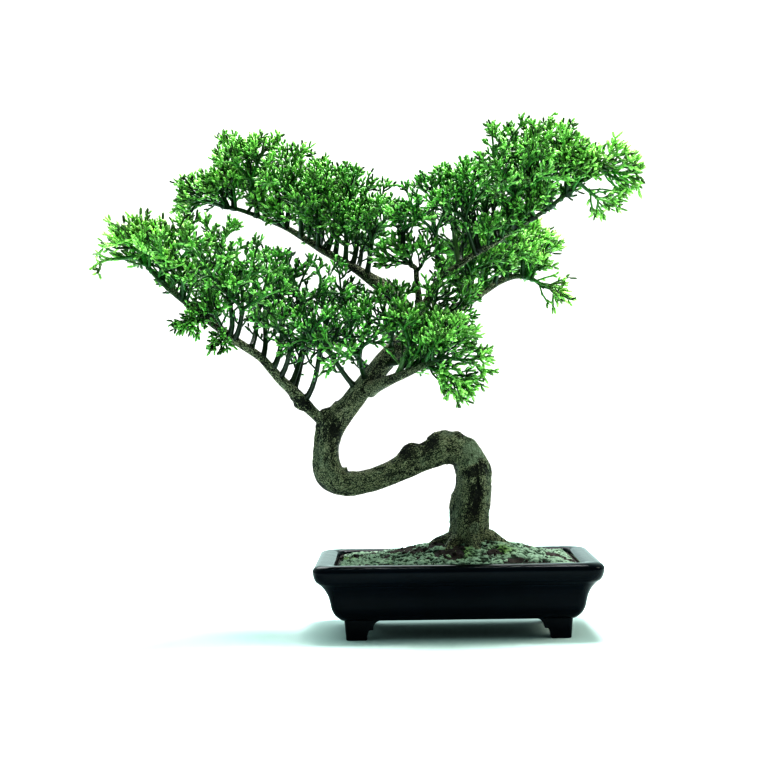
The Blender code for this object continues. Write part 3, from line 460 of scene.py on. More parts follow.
# Changes from the solids' wood to the fine one, as (place in points, shift in x and z, change of radius)
FINE_WOOD = {
    "trunk": (
        (0, 0, 0, -0.8), (2, 0, 0, -1.9), (3, -0.3, 0, -1.2), (4, 1.0, 0, -1.0), (5, 0.3, -0.2, -0.9),
        (5.6, -0.6, -0.6, -1.5), (6.2, -0.9, -0.9, -1.7), (7, -0.3, -1.2, -0.8), (7.5, 0, -2.2, -1.2),
        (8, 0, -1.9, -1.3), (8.5, 0, -1.6, -0.9), (9, 0, -1.4, -1.0), (9.5, 0, -0.7, -0.8),
        (10, 0, -0.2, -0.6), (11, 0, 0, -0.3), (12, 0.2, 0, -0.2), (13, 0.6, 0, -0.2), (14, 1.0, 0, -0.1),
        (14.5, 1.7, 0, -0.4), (15, 2.6, 0, -1.0), (16, 3.0, 0, -0.8), (17, 1.8, 0, -0.5), (20, 0, 0, -0.3),
    ),
    "left": (
        (0, 1.0, 0, -1.3), (1, 0.6, 0, -1.2), (1.7, 0, 0, -0.6), (3, 0, 0.2, -0.6), (3.7, 0, 1.2, -0.6),
        (4.2, 0, -0.6, -0.4), (4.8, 0, -2.6, -0.2), (5.8, 0, -3.4, -0.1), (7.2, 0, -3.6, 0), (7.8, 0, -2.2, 0),
        (8.3, 0, 0, 0), (9, 0, 0, 0),
    ),
    "back": ((0, 0, 0, -0.4), (2, 0, 0, -0.3), (3, 0, 0, -0.6), (6, 0, 0, -0.4), (11, 0, 0, -0.1)),
    "right": ((0, 0, 0, -0.4), (13, 0, 0, -0.1)),
    "front": (
        (0, 2.0, -1.8, -0.5), (1, 1.0, -2.4, -0.2), (2, 0.4, -2.8, -0.1), (4, 0, -2.6, 0), (6, 0, -1.5, 0),
    ),
}

# Tones of the bark, as (limb, place in points, angle in degrees, length in points, width in degrees,
# strength above zero for a pale patch and below for a dark stretch). The patches are lichen and weathering,
# and among them painted light on the trunk's lit shoulder and on top of the back limb's base, and painted
# shade down the trunk's front and under that base
BARK_ZONES = (
    ("trunk", 5.85, 42, 0.45, 56, 1.9), ("trunk", 5.05, 15, 0.28, 60, -0.9), ("trunk", 3.6, 4, 0.95, 24, -1.0),
    ("trunk", 6.9, 78, 0.22, 30, 1.2), ("trunk", 7.5, 50, 0.5, 40, -0.6), ("trunk", 3.1, -52, 0.9, 22, 0.45),
    ("trunk", 4.6, 66, 1.1, 26, 0.35), ("trunk", 2.6, 12, 0.18, 16, 1.2), ("trunk", 8.35, 60, 0.25, 40, -0.8),
    ("trunk", 10.2, 100, 1.3, 30, 0.55), ("trunk", 9.6, -84, 1.6, 14, 0.7), ("trunk", 12.6, -10, 0.9, 40, 0.25),
    ("trunk", 14.1, 10, 0.5, 60, -0.7), ("trunk", 16.2, -60, 0.9, 45, 0.7), ("trunk", 16.4, 20, 0.9, 40, -0.6),
    ("trunk", 13.4, 60, 0.9, 30, -0.5), ("back", 1.6, 80, 0.9, 50, 1.0), ("back", 1.6, -50, 0.9, 50, -1.2),
    ("left", 1.6, 0, 0.5, 90, -0.8), ("left", 0.6, 60, 0.6, 50, 0.4),
)


def linear(hex_colour):
    """Linear colour of an sRGB hex value: each channel by the sRGB curve, with alpha 1."""
    channels = [int(hex_colour[place:place + 2], 16) / 255 for place in (1, 3, 5)]
    return tuple(c / 12.92 if c <= 0.04045 else ((c + 0.055) / 1.055) ** 2.4 for c in channels) + (1.0,)


def unit(vectors):
    """Vectors scaled to length one."""
    return vectors / np.maximum(np.linalg.norm(vectors, axis=-1, keepdims=True), 1e-9)


def lattice_noise(points, seed=0):
    """Noise from -1 to 1: random values at whole-number corners, blended along each axis by 3t^2 - 2t^3."""
    cell = np.floor(points).astype(np.int64)
    part = points - cell
    fade = part * part * (3 - 2 * part)
    total = np.zeros(points.shape[:-1])
    for corner in np.ndindex(2, 2, 2):
        step = np.array(corner)
        code = ((cell + step) * np.array([73856093, 19349663, 83492791])).sum(-1) + seed * 7919
        code = (code & 0xFFFFFF) * 16807 + 12345
        code = ((code ^ (code >> 11)) & 0xFFFFFF) * 48271
        value = ((code >> 9) & 0xFFFF) / 32767.5 - 1
        total += value * np.where(step, fade, 1 - fade).prod(-1)
    return total


def layered_noise(points, octaves, seed=0):
    """Noise added to itself at twice the pitch and half the height, octave by octave."""
    return sum(lattice_noise(points * 2 ** k, seed + k) / 2 ** k for k in range(octaves))


def tube_faces(rings, sides):
    """Quads of a tube of rings by sides points, and the fans to the two poles that come after them."""
    ring = np.arange(rings - 1)[:, None] * sides
    side = np.arange(sides)[None]
    after = (side + 1) % sides
    quads = np.stack([ring + side, ring + after, ring + sides + after, ring + sides + side], -1)
    around = np.arange(sides)
    following = (around + 1) % sides
    last = (rings - 1) * sides
    start = np.stack([following, around, np.full(sides, rings * sides)], -1)
    end = np.stack([last + around, last + following, np.full(sides, rings * sides + 1)], -1)
    return quads.reshape(-1, 4), np.vstack([start, end])


class Shells:
    """Closed shells gathered into one mesh, with named rows of values for each point."""

    def __init__(self):
        self.points = []
        self.quads = []
        self.triangles = []
        self.values = {}
        self.count = 0

    def add(self, points, quads, triangles, **values):
        """Add points as (n, 3), faces that count from those points, and values as (n,) or (n, 3)."""
        self.points.append(points)
        self.quads.append(quads + self.count)
        self.triangles.append(triangles + self.count)
        for name, rows in values.items():
            self.values.setdefault(name, []).append(rows)
        self.count += len(points)

    def add_copies(self, points, quads, triangles, **values):
        """Add many shells alike: points and values as (shells, points, 3), faces of one shell."""
        offset = (np.arange(len(points)) * points.shape[1])[:, None, None]
        rows = {name: value.reshape(-1, 3) for name, value in values.items()}
        self.add(points.reshape(-1, 3), (quads + offset).reshape(-1, 4),
                 (triangles + offset).reshape(-1, 3), **rows)

    def build(self, name, material, replaced=()):
        """Make the object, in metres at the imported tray, and declare what it rides on and replaces."""
        points = np.concatenate(self.points) * MM + PLACE
        quads = np.concatenate(self.quads)
        triangles = np.concatenate(self.triangles)
        mesh = bpy.data.meshes.new(name)
        mesh.vertices.add(len(points))
        mesh.vertices.foreach_set("co", points.astype(np.float32).ravel())
        mesh.loops.add(quads.size + triangles.size)
        corners = np.concatenate([quads.ravel(), triangles.ravel()])
        mesh.loops.foreach_set("vertex_index", corners.astype(np.int32))
        mesh.polygons.add(len(quads) + len(triangles))
        sizes = np.repeat([4, 3], [len(quads), len(triangles)])
        starts = np.concatenate([[0], np.cumsum(sizes)[:-1]])
        mesh.polygons.foreach_set("loop_start", starts.astype(np.int32))
        mesh.update(calc_edges=True)
        for key, rows in self.values.items():
            rows = np.concatenate(rows).astype(np.float32)
            kind, field = ("FLOAT", "value") if rows.ndim == 1 else ("FLOAT_VECTOR", "vector")
            mesh.attributes.new(key, kind, "POINT").data.foreach_set(field, rows.ravel())
        mesh.materials.append(material)
        mesh.shade_smooth()
        return place_piece(name, mesh, replaced)


def place_piece(name, mesh, replaced=()):
    """Put a mesh in the scene as a piece on the object's body."""
    piece = bpy.data.objects.new(name, mesh)
    bpy.context.scene.collection.objects.link(piece)
    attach(piece, BODY)
    if replaced:
        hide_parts(*replaced)
    return piece


def add_node(tree, kind, inputs=None, stops=None, **settings):
    """Add a shader node: settings go on it, inputs are values or sockets to link, stops fill a ramp.

    The kind is its type without ShaderNode. A colour without alpha is made opaque.
    """
    node = tree.nodes.new("ShaderNode" + kind)
    for key, value in settings.items():
        setattr(node, key, value)
    for key, value in (inputs or {}).items():
        if isinstance(value, bpy.types.NodeSocket):
            tree.links.new(value, node.inputs[key])
        else:
            node.inputs[key].default_value = (*value, 1.0) if isinstance(value, Color) else value
    if stops:
        ramp = node.color_ramp
        while len(ramp.elements) < len(stops):
            ramp.elements.new(1.0)
        for element, (place, colour) in zip(ramp.elements, stops):
            element.position = place
            element.color = (*colour, 1.0)
    return node


# Sizes of the finishes' patterns in millimetres: pools and ripples of the glaze, ribs of the screens,
# lumps of the soil, grit that soil and moss share, specks that bark and shoots share, and the bark's
# fibres and scales across the limb. Scale leaves are drawn coarser than real ones, so that they show.
POOL_SIZE = 22.22
RIPPLE_SIZE = 11.11
RIB_SPACING = 1.208
LUMP_SIZE = 6.25
GRIT_SIZE = 1.613
SPECK_SIZE = 1.111
FIBRE_SIZE = 0.7407
BARK_SCALE_SIZE = 0.5882
SCALE_LEAF_SIZE = 0.7692

# Bands of a Wave texture are this share of a unit wide at scale 1
WAVE_BAND = math.tau / 20

# Inputs and output of a colour Mix node
MIX_FACTOR, MIX_A, MIX_B, MIX_RESULT = 0, 6, 7, 2


def across(size):
    """Texture scale at which one cell is a size in millimetres, on coordinates in metres."""
    return 1.0 / (size * MM)


def new_material(name):
    """An empty node material with its Principled shader."""
    material = bpy.data.materials.new(name)
    material.use_nodes = True
    return material, material.node_tree, material.node_tree.nodes["Principled BSDF"]


def glaze_material(settings):
    """Stoneware under a dark navy gloss glaze, fired: deep, wet-looking and faintly uneven."""
    material, tree, shader = new_material("navy_gloss_glaze")
    place = add_node(tree, "TexCoord").outputs["Object"]
    pooled = add_node(tree, "TexNoise", {
        "Vector": place, "Scale": across(POOL_SIZE), "Detail": 3.0})
    colour = add_node(tree, "Mix", {
        MIX_FACTOR: pooled.outputs["Fac"], MIX_A: settings.glaze_deep,
        MIX_B: settings.glaze_thin}, data_type="RGBA")
    tree.links.new(colour.outputs[MIX_RESULT], shader.inputs["Base Color"])
    ripple = add_node(tree, "TexNoise", {
        "Vector": place, "Scale": across(RIPPLE_SIZE), "Detail": 2.0})
    bump = add_node(tree, "Bump", {
        "Height": ripple.outputs["Fac"], "Strength": 0.18, "Distance": 0.0006})
    tree.links.new(bump.outputs["Normal"], shader.inputs["Normal"])
    shader.inputs["Roughness"].default_value = settings.glaze_roughness
    shader.inputs["IOR"].default_value = 1.5
    shader.inputs["Specular IOR Level"].default_value = 0.08
    return material


def screen_material():
    """Moulded polyethylene drainage mesh: black, half matt, with a fine cross ribbing."""
    material, tree, shader = new_material("black_mesh_plastic")
    place = add_node(tree, "TexCoord").outputs["Object"]
    ribs = add_node(tree, "TexWave", {
        "Vector": place, "Scale": WAVE_BAND * across(RIB_SPACING), "Distortion": 0.6})
    bump = add_node(tree, "Bump", {
        "Height": ribs.outputs["Fac"], "Strength": 0.3, "Distance": 0.0003})
    tree.links.new(bump.outputs["Normal"], shader.inputs["Normal"])
    shader.inputs["Base Color"].default_value = linear("#141416")
    shader.inputs["Roughness"].default_value = 0.55
    return material


def soil_material(settings):
    """Moist loam with grit and bark crumbs: near black, brown and purplish, and matt."""
    material, tree, shader = new_material("moist_loam")
    place = add_node(tree, "TexCoord").outputs["Object"]
    broad = add_node(tree, "TexNoise", {
        "Vector": place, "Scale": across(LUMP_SIZE), "Detail": 6.0, "Roughness": 0.65})
    crumbs = add_node(tree, "TexVoronoi", {"Vector": place, "Scale": across(GRIT_SIZE)})
    tones = add_node(tree, "ValToRGB", {"Fac": broad.outputs["Fac"]}, stops=(
        (0.30, settings.dark), (0.52, settings.brown), (0.64, settings.purple),
        (0.80, settings.pale)))
    grain = add_node(tree, "Mix", {
        MIX_FACTOR: crumbs.outputs["Distance"], MIX_A: (0.45, 0.45, 0.45, 1.0),
        MIX_B: (1.5, 1.5, 1.5, 1.0)}, data_type="RGBA")
    colour = add_node(tree, "Mix", {
        MIX_FACTOR: 1.0, MIX_A: tones.outputs["Color"], MIX_B: grain.outputs[MIX_RESULT]},
        data_type="RGBA", blend_type="MULTIPLY")
    tree.links.new(colour.outputs[MIX_RESULT], shader.inputs["Base Color"])
    bump = add_node(tree, "Bump", {
        "Height": crumbs.outputs["Distance"], "Strength": 0.7, "Distance": 0.0008})
    tree.links.new(bump.outputs["Normal"], shader.inputs["Normal"])
    shader.inputs["Roughness"].default_value = 0.9
    return material


def moss_material(settings):
    """Cushion moss: short soft tips, matt, fresh green on the crowns and olive in the hollows, partly the
    moss's own colours and partly painted shade in the hollows and painted light on the crowns.
    """
    material, tree, shader = new_material("cushion_moss")
    place = add_node(tree, "TexCoord").outputs["Object"]
    tip = add_node(tree, "Attribute", attribute_name="tip")
    axes = add_node(tree, "SeparateXYZ", {"Vector": tip.outputs["Vector"]})
    grit = add_node(tree, "TexNoise", {
        "Vector": place, "Scale": across(GRIT_SIZE), "Detail": 5.0, "Roughness": 0.7})
    shade = add_node(tree, "Math", {0: grit.outputs["Fac"], 1: 0.9, 2: axes.outputs["X"]},
                     operation="MULTIPLY_ADD")
    tones = add_node(tree, "ValToRGB", {"Fac": add_node(tree, "MapRange", {
        "Value": shade.outputs[0], "From Min": 0.35, "From Max": 1.45}).outputs["Result"]}, stops=(
        (0.12, settings.deep), (0.46, settings.mid), (0.84, settings.fresh)))
    leafy = add_node(tree, "Mix", {
        MIX_FACTOR: 1.0, MIX_A: tones.outputs["Color"], MIX_B: settings.sunny}, data_type="RGBA",
        blend_type="MULTIPLY")
    colour = add_node(tree, "Mix", {
        MIX_FACTOR: axes.outputs["Y"], MIX_A: tones.outputs["Color"], MIX_B: leafy.outputs[MIX_RESULT]},
        data_type="RGBA")
    tree.links.new(colour.outputs[MIX_RESULT], shader.inputs["Base Color"])
    bump = add_node(tree, "Bump", {
        "Height": grit.outputs["Fac"], "Strength": 1.0, "Distance": 0.0012})
    tree.links.new(bump.outputs["Normal"], shader.inputs["Normal"])
    shader.inputs["Roughness"].default_value = 0.85
    shader.inputs["Sheen Weight"].default_value = 0.15
    shader.inputs["Sheen Tint"].default_value = linear("#B8D98A")
    return material


def bark_material(settings):
    """Old juniper bark: fissured, fibrous along the limb, grey-olive ridges over near-black furrows. The tones
    are partly the bark's own and partly painted shade in the furrows and a painted highlight on the ridges.
    """
    material, tree, shader = new_material("fissured_juniper_bark")
    grain = add_node(tree, "Attribute", attribute_name="grain").outputs["Vector"]
    relief, lichen, green = (add_node(tree, "Attribute", attribute_name=name).outputs["Fac"]
                             for name in ("relief", "lichen", "green"))
    fibres = add_node(tree, "TexNoise", {
        "Vector": grain, "Scale": 1 / FIBRE_SIZE, "Detail": 8.0, "Roughness": 0.78})
    bent = add_node(tree, "Mix", {
        MIX_FACTOR: 0.9, MIX_A: grain, MIX_B: fibres.outputs["Color"]}, data_type="RGBA", blend_type="ADD")
    cracks = add_node(tree, "TexVoronoi", {
        "Vector": bent.outputs[MIX_RESULT], "Scale": 1 / BARK_SCALE_SIZE}, feature="DISTANCE_TO_EDGE")
    plates = add_node(tree, "MapRange", {
        "Value": cracks.outputs["Distance"], "From Min": 0.0, "From Max": 0.24},
        interpolation_type="SMOOTHSTEP")
    coarse = add_node(tree, "Math", {0: relief, 1: 0.55, 2: add_node(tree, "Math", {
        0: plates.outputs["Result"], 1: 0.42}, operation="MULTIPLY").outputs[0]}, operation="MULTIPLY_ADD")
    height = add_node(tree, "Math", {0: fibres.outputs["Fac"], 1: 1.5, 2: coarse.outputs[0]},
                      operation="MULTIPLY_ADD")
    place = add_node(tree, "TexCoord").outputs["Object"]
    specks = add_node(tree, "TexNoise", {
        "Vector": place, "Scale": across(SPECK_SIZE), "Detail": 3.0, "Roughness": 0.7})
    shade = add_node(tree, "Math", {0: specks.outputs["Fac"], 1: 0.6, 2: height.outputs[0]},
                     operation="MULTIPLY_ADD")
    # Dark patches darken the tones: weathering and painted shade
    weathered_and_shaded = add_node(tree, "Math", {0: add_node(tree, "Math", {
        0: lichen, 1: 0.0}, operation="MINIMUM").outputs[0], 1: 0.34, 2: shade.outputs[0]},
        operation="MULTIPLY_ADD")
    # Tones by the bark's height: darkest in the furrows and palest on the ridges, partly the bark's own colour
    # and partly painted shade in the furrows and a painted highlight on the ridges
    tones = add_node(tree, "ValToRGB", {"Fac": add_node(tree, "MapRange", {
        "Value": weathered_and_shaded.outputs[0], "From Min": 1.10, "From Max": 1.92}).outputs["Result"]}, stops=(
        (0.20, settings.furrow_and_shade), (0.42, settings.brown), (0.58, settings.olive),
        (0.80, settings.ridge_and_highlight)))
    # Pale patches turn the bark towards the pale colour: lichen crust and painted light
    grown = add_node(tree, "Math", {0: add_node(tree, "MapRange", {
        "Value": shade.outputs[0], "From Min": 1.10, "From Max": 1.70}).outputs["Result"], 1: lichen},
        operation="MULTIPLY", use_clamp=True)
    crust = add_node(tree, "Mix", {
        MIX_FACTOR: add_node(tree, "MapRange", {
            "Value": shade.outputs[0], "From Min": 1.15, "From Max": 1.95}).outputs["Result"],
        MIX_A: settings.olive, MIX_B: settings.lichen}, data_type="RGBA")
    colour = add_node(tree, "Mix", {
        MIX_FACTOR: grown.outputs[0], MIX_A: tones.outputs["Color"],
        MIX_B: crust.outputs[MIX_RESULT]}, data_type="RGBA")
    young = add_node(tree, "Mix", {
        MIX_FACTOR: green, MIX_A: colour.outputs[MIX_RESULT], MIX_B: settings.algae}, data_type="RGBA")
    tree.links.new(young.outputs[MIX_RESULT], shader.inputs["Base Color"])
    bump = add_node(tree, "Bump", {
        "Height": height.outputs[0], "Strength": 1.0, "Distance": 0.0016})
    tree.links.new(bump.outputs["Normal"], shader.inputs["Normal"])
    shader.inputs["Roughness"].default_value = 0.6
    shader.inputs["IOR"].default_value = 1.45
    shader.inputs["Specular IOR Level"].default_value = 0.35
    return material


def foliage_material(settings):
    """Juniper shoots clothed in tiny scale leaves: waxy green at the tips, darker and woody inwards, with
    painted light:
    each shoot's colour is multiplied by its light value, and the best-lit ones get a painted highlight colour.
    """
    material, tree, shader = new_material("scale_leaf_green")
    growth = add_node(tree, "Attribute", attribute_name="growth").outputs["Vector"]
    axes = add_node(tree, "SeparateXYZ", {"Vector": growth})
    place = add_node(tree, "TexCoord").outputs["Object"]
    mottle = add_node(tree, "TexNoise", {"Vector": place, "Scale": across(SPECK_SIZE), "Detail": 2.0})
    age = add_node(tree, "Math", {0: mottle.outputs["Fac"], 1: 0.16, 2: axes.outputs["X"]},
                   operation="MULTIPLY_ADD")
    # Shaded and sunny copies of the colours, mixed by the spray's tone: painted sunlight on the fresher sprays
    shaded = add_node(tree, "ValToRGB", {"Fac": age.outputs[0]}, stops=(
        (0.06, settings.mid), (0.40, settings.deep), (0.74, settings.twig),
        (1.0, settings.stem)))
    sunny = add_node(tree, "ValToRGB", {"Fac": age.outputs[0]}, stops=(
        (0.06, settings.fresh), (0.46, settings.mid), (0.82, settings.deep),
        (1.0, settings.stem)))
    colour = add_node(tree, "Mix", {
        MIX_FACTOR: axes.outputs["Y"], MIX_A: shaded.outputs["Color"], MIX_B: sunny.outputs["Color"]},
        data_type="RGBA")
    # Painted light and shade: each shoot's colour is multiplied by its light value, from dark shade to bright
    # light
    spread = add_node(tree, "Math", {0: axes.outputs["Z"], 1: 1.7}, operation="POWER",
                      use_clamp=True)
    lit = add_node(tree, "MapRange", {
        "Value": spread.outputs[0], "From Min": 0.0, "From Max": 1.0, "To Min": 0.12, "To Max": 2.8})
    toned = add_node(tree, "Mix", {
        MIX_FACTOR: 1.0, MIX_A: colour.outputs[MIX_RESULT], MIX_B: lit.outputs["Result"]},
        data_type="RGBA", blend_type="MULTIPLY")
    # Painted highlight: the best-lit shoots are mixed towards a pale colour
    painted_highlight = add_node(tree, "MapRange", {
        "Value": axes.outputs["Z"], "From Min": 0.66, "From Max": 1.0, "To Min": 0.0, "To Max": 0.55})
    waxed = add_node(tree, "Mix", {
        MIX_FACTOR: painted_highlight.outputs["Result"], MIX_A: toned.outputs[MIX_RESULT],
        MIX_B: settings.painted_highlight}, data_type="RGBA")
    tree.links.new(waxed.outputs[MIX_RESULT], shader.inputs["Base Color"])
    scales = add_node(tree, "TexVoronoi", {"Vector": place, "Scale": across(SCALE_LEAF_SIZE)})
    bump = add_node(tree, "Bump", {
        "Height": scales.outputs["Distance"], "Strength": 0.3, "Distance": 0.0003})
    tree.links.new(bump.outputs["Normal"], shader.inputs["Normal"])
    shader.inputs["Roughness"].default_value = settings.roughness
    shader.inputs["IOR"].default_value = 1.5
    shader.inputs["Specular IOR Level"].default_value = 0.3
    shader.inputs["Coat Weight"].default_value = 0.12
    shader.inputs["Coat Roughness"].default_value = 0.22
    return material


def smooth_path(points, steps):
    """Catmull-Rom curve through rows of (x, y, z, radius), with its place counted in points.

    Between two points each sample is the cubic that leaves and meets them along the lines through
    their neighbours.
    """
    rows = np.asarray(points, float)
    padded = np.vstack([2 * rows[0] - rows[1], rows, 2 * rows[-1] - rows[-2]])
    t = (np.arange(steps) / steps)[None, :, None]
    before, start, end, after = (padded[k:k + len(rows) - 1, None] for k in range(4))
    samples = 0.5 * (2 * start + (end - before) * t + (2 * before - 5 * start + 4 * end - after) * t ** 2
                     + (3 * start - before - 3 * end + after) * t ** 3)
    path = np.vstack([samples.reshape(-1, 4), rows[-1]])
    path[:, 3] = np.maximum(path[:, 3], LEAST_RADIUS)
    return path, np.append(np.arange(len(path) - 1) / steps, len(rows) - 1.0)


def path_length(path):
    """Distance along a path at each of its points."""
    return np.concatenate([[0.0], np.cumsum(np.linalg.norm(np.diff(path[:, :3], axis=0), axis=1))])


def cross_frames(path, reference):
    """Tangent, first and second cross directions at each point of a path."""
    tangent = unit(np.gradient(path[:, :3], axis=0))
    guide = np.asarray(reference, float)
    first = unit(guide - (tangent @ guide)[:, None] * tangent)
    return tangent, first, np.cross(tangent, first)


def angle_between(angle, degrees):
    """Signed turn from a direction in degrees to each angle in radians."""
    return (angle - math.radians(degrees) + math.pi) % (2 * math.pi) - math.pi


def add_limb(shells, limb, points, sides, reference, depth, collar=True):
    """Sweep a limb with its bark: a circle carried along the path, its radius changed by the bark.

    The radius is the limb's own, plus flutes that wind round it, knobs as rounded bumps, a collar
    that swells towards its foot, ridges stretched along the limb, and fine crumble.
    """
    coarse, _ = smooth_path(points, 2)
    spacing = path_length(coarse)[-1] / (len(points) - 1)
    path, places = smooth_path(points, max(2, round(spacing / BARK_STEP)))
    run = path_length(path)
    path[:, (0, 2, 3)] += wood_change(limb, places)
    tangent, first, second = cross_frames(path, reference)
    angle = (np.arange(sides) * 2 * math.pi / sides)[None, :]
    own = path[:, 3][:, None]
    radius = own + np.zeros_like(angle)
    if limb == "trunk":
        for number, turn, offset, share in FLUTES:
            radius = radius + FLUTE * share * own * np.sin(number * angle + turn * places[:, None] + offset)
    for place, degrees, height, length, width in KNOBS.get(limb, ()):
        along = (run - np.interp(place, places, run))[:, None] / length
        turn = angle_between(angle, degrees) / math.radians(width)
        radius = radius + height * np.exp(-along ** 2 - turn ** 2)
    if collar:
        radius = radius * (1 + COLLAR_SWELL * np.exp(-(run[:, None] / COLLAR_LENGTH) ** 2))
    if limb == "trunk":
        radius = radius + root_flare(path, first, second, angle)
    rough = THIN_ROUGHNESS + (1 - THIN_ROUGHNESS) * np.clip(own / ROUGH_RADIUS, 0, 1)
    grain = np.stack([own * np.cos(angle), own * np.sin(angle), run[:, None] + np.zeros_like(angle)], -1)
    warp = BARK_WARP * layered_noise(grain * BARK_WARP_PITCH, 2, 5)[..., None]
    ridges = 1 - 2.2 * np.abs(layered_noise(grain * RIDGE_PITCH + warp, 2, 11))
    plates = 1 - 2.2 * np.abs(lattice_noise(grain * PLATE_PITCH + warp, 23))
    crumble = layered_noise(grain * CRUMBLE_PITCH, 2, 31)
    relief = RIDGE_SHARE * ridges + PLATE_SHARE * plates + CRUMBLE_SHARE * crumble
    thickness = np.minimum(own, FULL_DEPTH_RADIUS) / FULL_DEPTH_RADIUS
    radius = radius + depth * thickness * relief * rough
    around = np.cos(angle)[..., None] * first[:, None] + np.sin(angle)[..., None] * second[:, None]
    ring = path[:, None, :3] + radius[..., None] * around
    poles = np.stack([path[0, :3] - 0.35 * own[0] * tangent[0], path[-1, :3] + 0.5 * own[-1] * tangent[-1]])
    quads, triangles = tube_faces(len(path), sides)
    # Pale and dark patches on the bark: lichen and weathering, and also painted light and shade
    lichen = bark_tint(limb, places[:, None], angle, grain)
    green = np.zeros(len(path) * sides)
    if limb not in ("trunk", "root"):
        share = np.clip((places / places[-1] - GREEN_START) / GREEN_REACH, 0, 1)
        green = np.repeat(share * share * (3 - 2 * share), sides)
    shells.add(
        np.vstack([ring.reshape(-1, 3), poles]), quads, triangles,
        grain=np.vstack([(grain * (1, 1, FIBRE_DRAW)).reshape(-1, 3),
                         [[0, 0, 0], [0, 0, run[-1] * FIBRE_DRAW]]]),
        relief=np.append(0.5 + 0.42 * relief.ravel(), (0.4, 0.4)),
        lichen=np.append(lichen.ravel(), (0.0, 0.0)), green=np.append(green, (0.0, green[-1])))


def wood_change(limb, places):
    """Shift in x and z and change of radius at places along a limb, as (x, z, radius) in a last axis."""
    at, *changes = np.array(FINE_WOOD.get(limb, ((0, 0, 0, 0),)), float).T
    return np.stack([np.interp(places, at, change) for change in changes], -1)


def root_flare(path, first, second, angle):
    """Outward swelling of the trunk's foot towards each surface root, fading upwards and downwards."""
    rise = np.exp(-((path[:, 2][:, None] - FLARE_Z) / FLARE_HEIGHT) ** 2)
    outward = np.cos(angle)[..., None] * first[:, None] + np.sin(angle)[..., None] * second[:, None]
    heading = np.arctan2(outward[..., 1], outward[..., 0])
    swell = np.zeros(heading.shape)
    for degrees, _, radius in ROOTS:
        swell += radius / 4.6 * np.exp(-(angle_between(heading, degrees) / math.radians(FLARE_WIDTH)) ** 2)
    return FLARE_OUT * rise * swell * (np.arange(len(path)) < len(path) / 2)[:, None]


def bark_tint(limb, place, angle, grain):
    """Share of pale patches, below zero for dark stretches: thin flecks, and soft patches from BARK_ZONES that
    are lichen and weathering and also painted light and shade.
    """
    uneven = layered_noise(grain * (0.35, 0.35, 0.2), 3, 47)
    tint = 0.7 * np.clip(uneven - 0.25, 0, 1)
    for owner, middle, degrees, length, width, strength in BARK_ZONES:
        if owner == limb:
            along = (place - middle) / length + 0.35 * uneven
            around = angle_between(angle, degrees) / math.radians(width) + 0.35 * uneven
            tint = tint + strength * np.exp(-(along ** 2 + around ** 2) ** 2)
    return tint


def soil_height(x, y):
    """Height of the soil: level at the rim, one wide mound over the roots, and gentle lumps."""
    mound = np.exp(-((x - MOUND_X) / MOUND_SPREAD[0]) ** 2 / 2 - (y / MOUND_SPREAD[1]) ** 2 / 2)
    reach = np.maximum(np.abs(x) / SOIL_HALF[0], np.abs(y) / SOIL_HALF[1])
    edge = np.maximum(0.0, 1 - reach ** MOUND_EDGE_POWER)
    lumps = (np.sin(LUMP_WAVE_X[0] * x + LUMP_WAVE_X[1]) * np.sin(LUMP_WAVE_Y[0] * y + LUMP_WAVE_Y[1])
             + LUMP_SLANT_SHARE * np.sin(LUMP_SLANT[0] * x + LUMP_SLANT[1] * y))
    return SOIL_EDGE + edge * (MOUND_HEIGHT * mound + LUMP_HEIGHT * lumps)


def soil_crumb(x, y):
    """Height that clods and crumbs add to the soil: three sizes of noise, none along the tray's wall."""
    flat = np.stack([x, y, np.zeros_like(x)], -1)
    clods = layered_noise(flat * CLOD_PITCH, 2, 61)
    crumbs = 1 - 2 * np.abs(lattice_noise(flat * CRUMB_PITCH, 67))
    grit = lattice_noise(flat * GRIT_PITCH, 71)
    return clods + CRUMB_SHARE * crumbs + GRIT_SHARE * grit


def moss_swell(x, y, cover):
    """Height of the moss over the soil, its brightness, and its share of the greenest tint.

    Cushions rise steeply where broad noise is above the bare share, to a rounded top. Scales as
    ridged noise and fine tufts as plain noise are added. Elsewhere the sheet dips below the soil.
    """
    flat = np.stack([x, y, np.zeros_like(x)], -1)
    slanted = np.stack([SCALE_PITCH[0] * x, SCALE_PITCH[1] * y + SCALE_LEAN * x, np.zeros_like(x)], -1)
    broad = layered_noise(flat * CUSHION_PITCH + 3.0, 2, 83) + 0.5 * lattice_noise(flat * LOBE_PITCH, 91)
    front = MOSS_FRONT_BARE * np.clip((MOSS_FRONT_Y - y) / MOSS_FRONT_REACH, 0, 1)
    share = np.clip((broad + cover - MOSS_BARE - front) / MOSS_RAMP, -1, 1)
    scales = 1 - 2.2 * np.abs(layered_noise(slanted, 2, 89))
    fine = lattice_noise(flat * TUFT_PITCH, 97)
    grown = np.sqrt(np.clip(share, 0, 1))
    height = MOSS_HEIGHT * grown + grown * (0.75 * scales + 0.35 * fine) - 0.5 + np.minimum(share, 0) * 2.0
    # Painted shade and light: darker in the troughs between the scales and tufts, lighter where the cushion has
    # grown
    bright = 0.20 + 0.60 * scales + 0.52 * fine + 0.20 * grown
    sunny = sum(np.exp(-((x - east) ** 2 + (y - north) ** 2) / reach ** 2) for east, north, reach in SUNNY_MOSS)
    return height, bright, sunny


def wall_fade(x, y, reach):
    """Share from 0 at the tray's wall to 1 at a distance inwards."""
    return np.clip(np.minimum(SOIL_HALF[0] - np.abs(x), SOIL_HALF[1] - np.abs(y)) / reach, 0, 1)


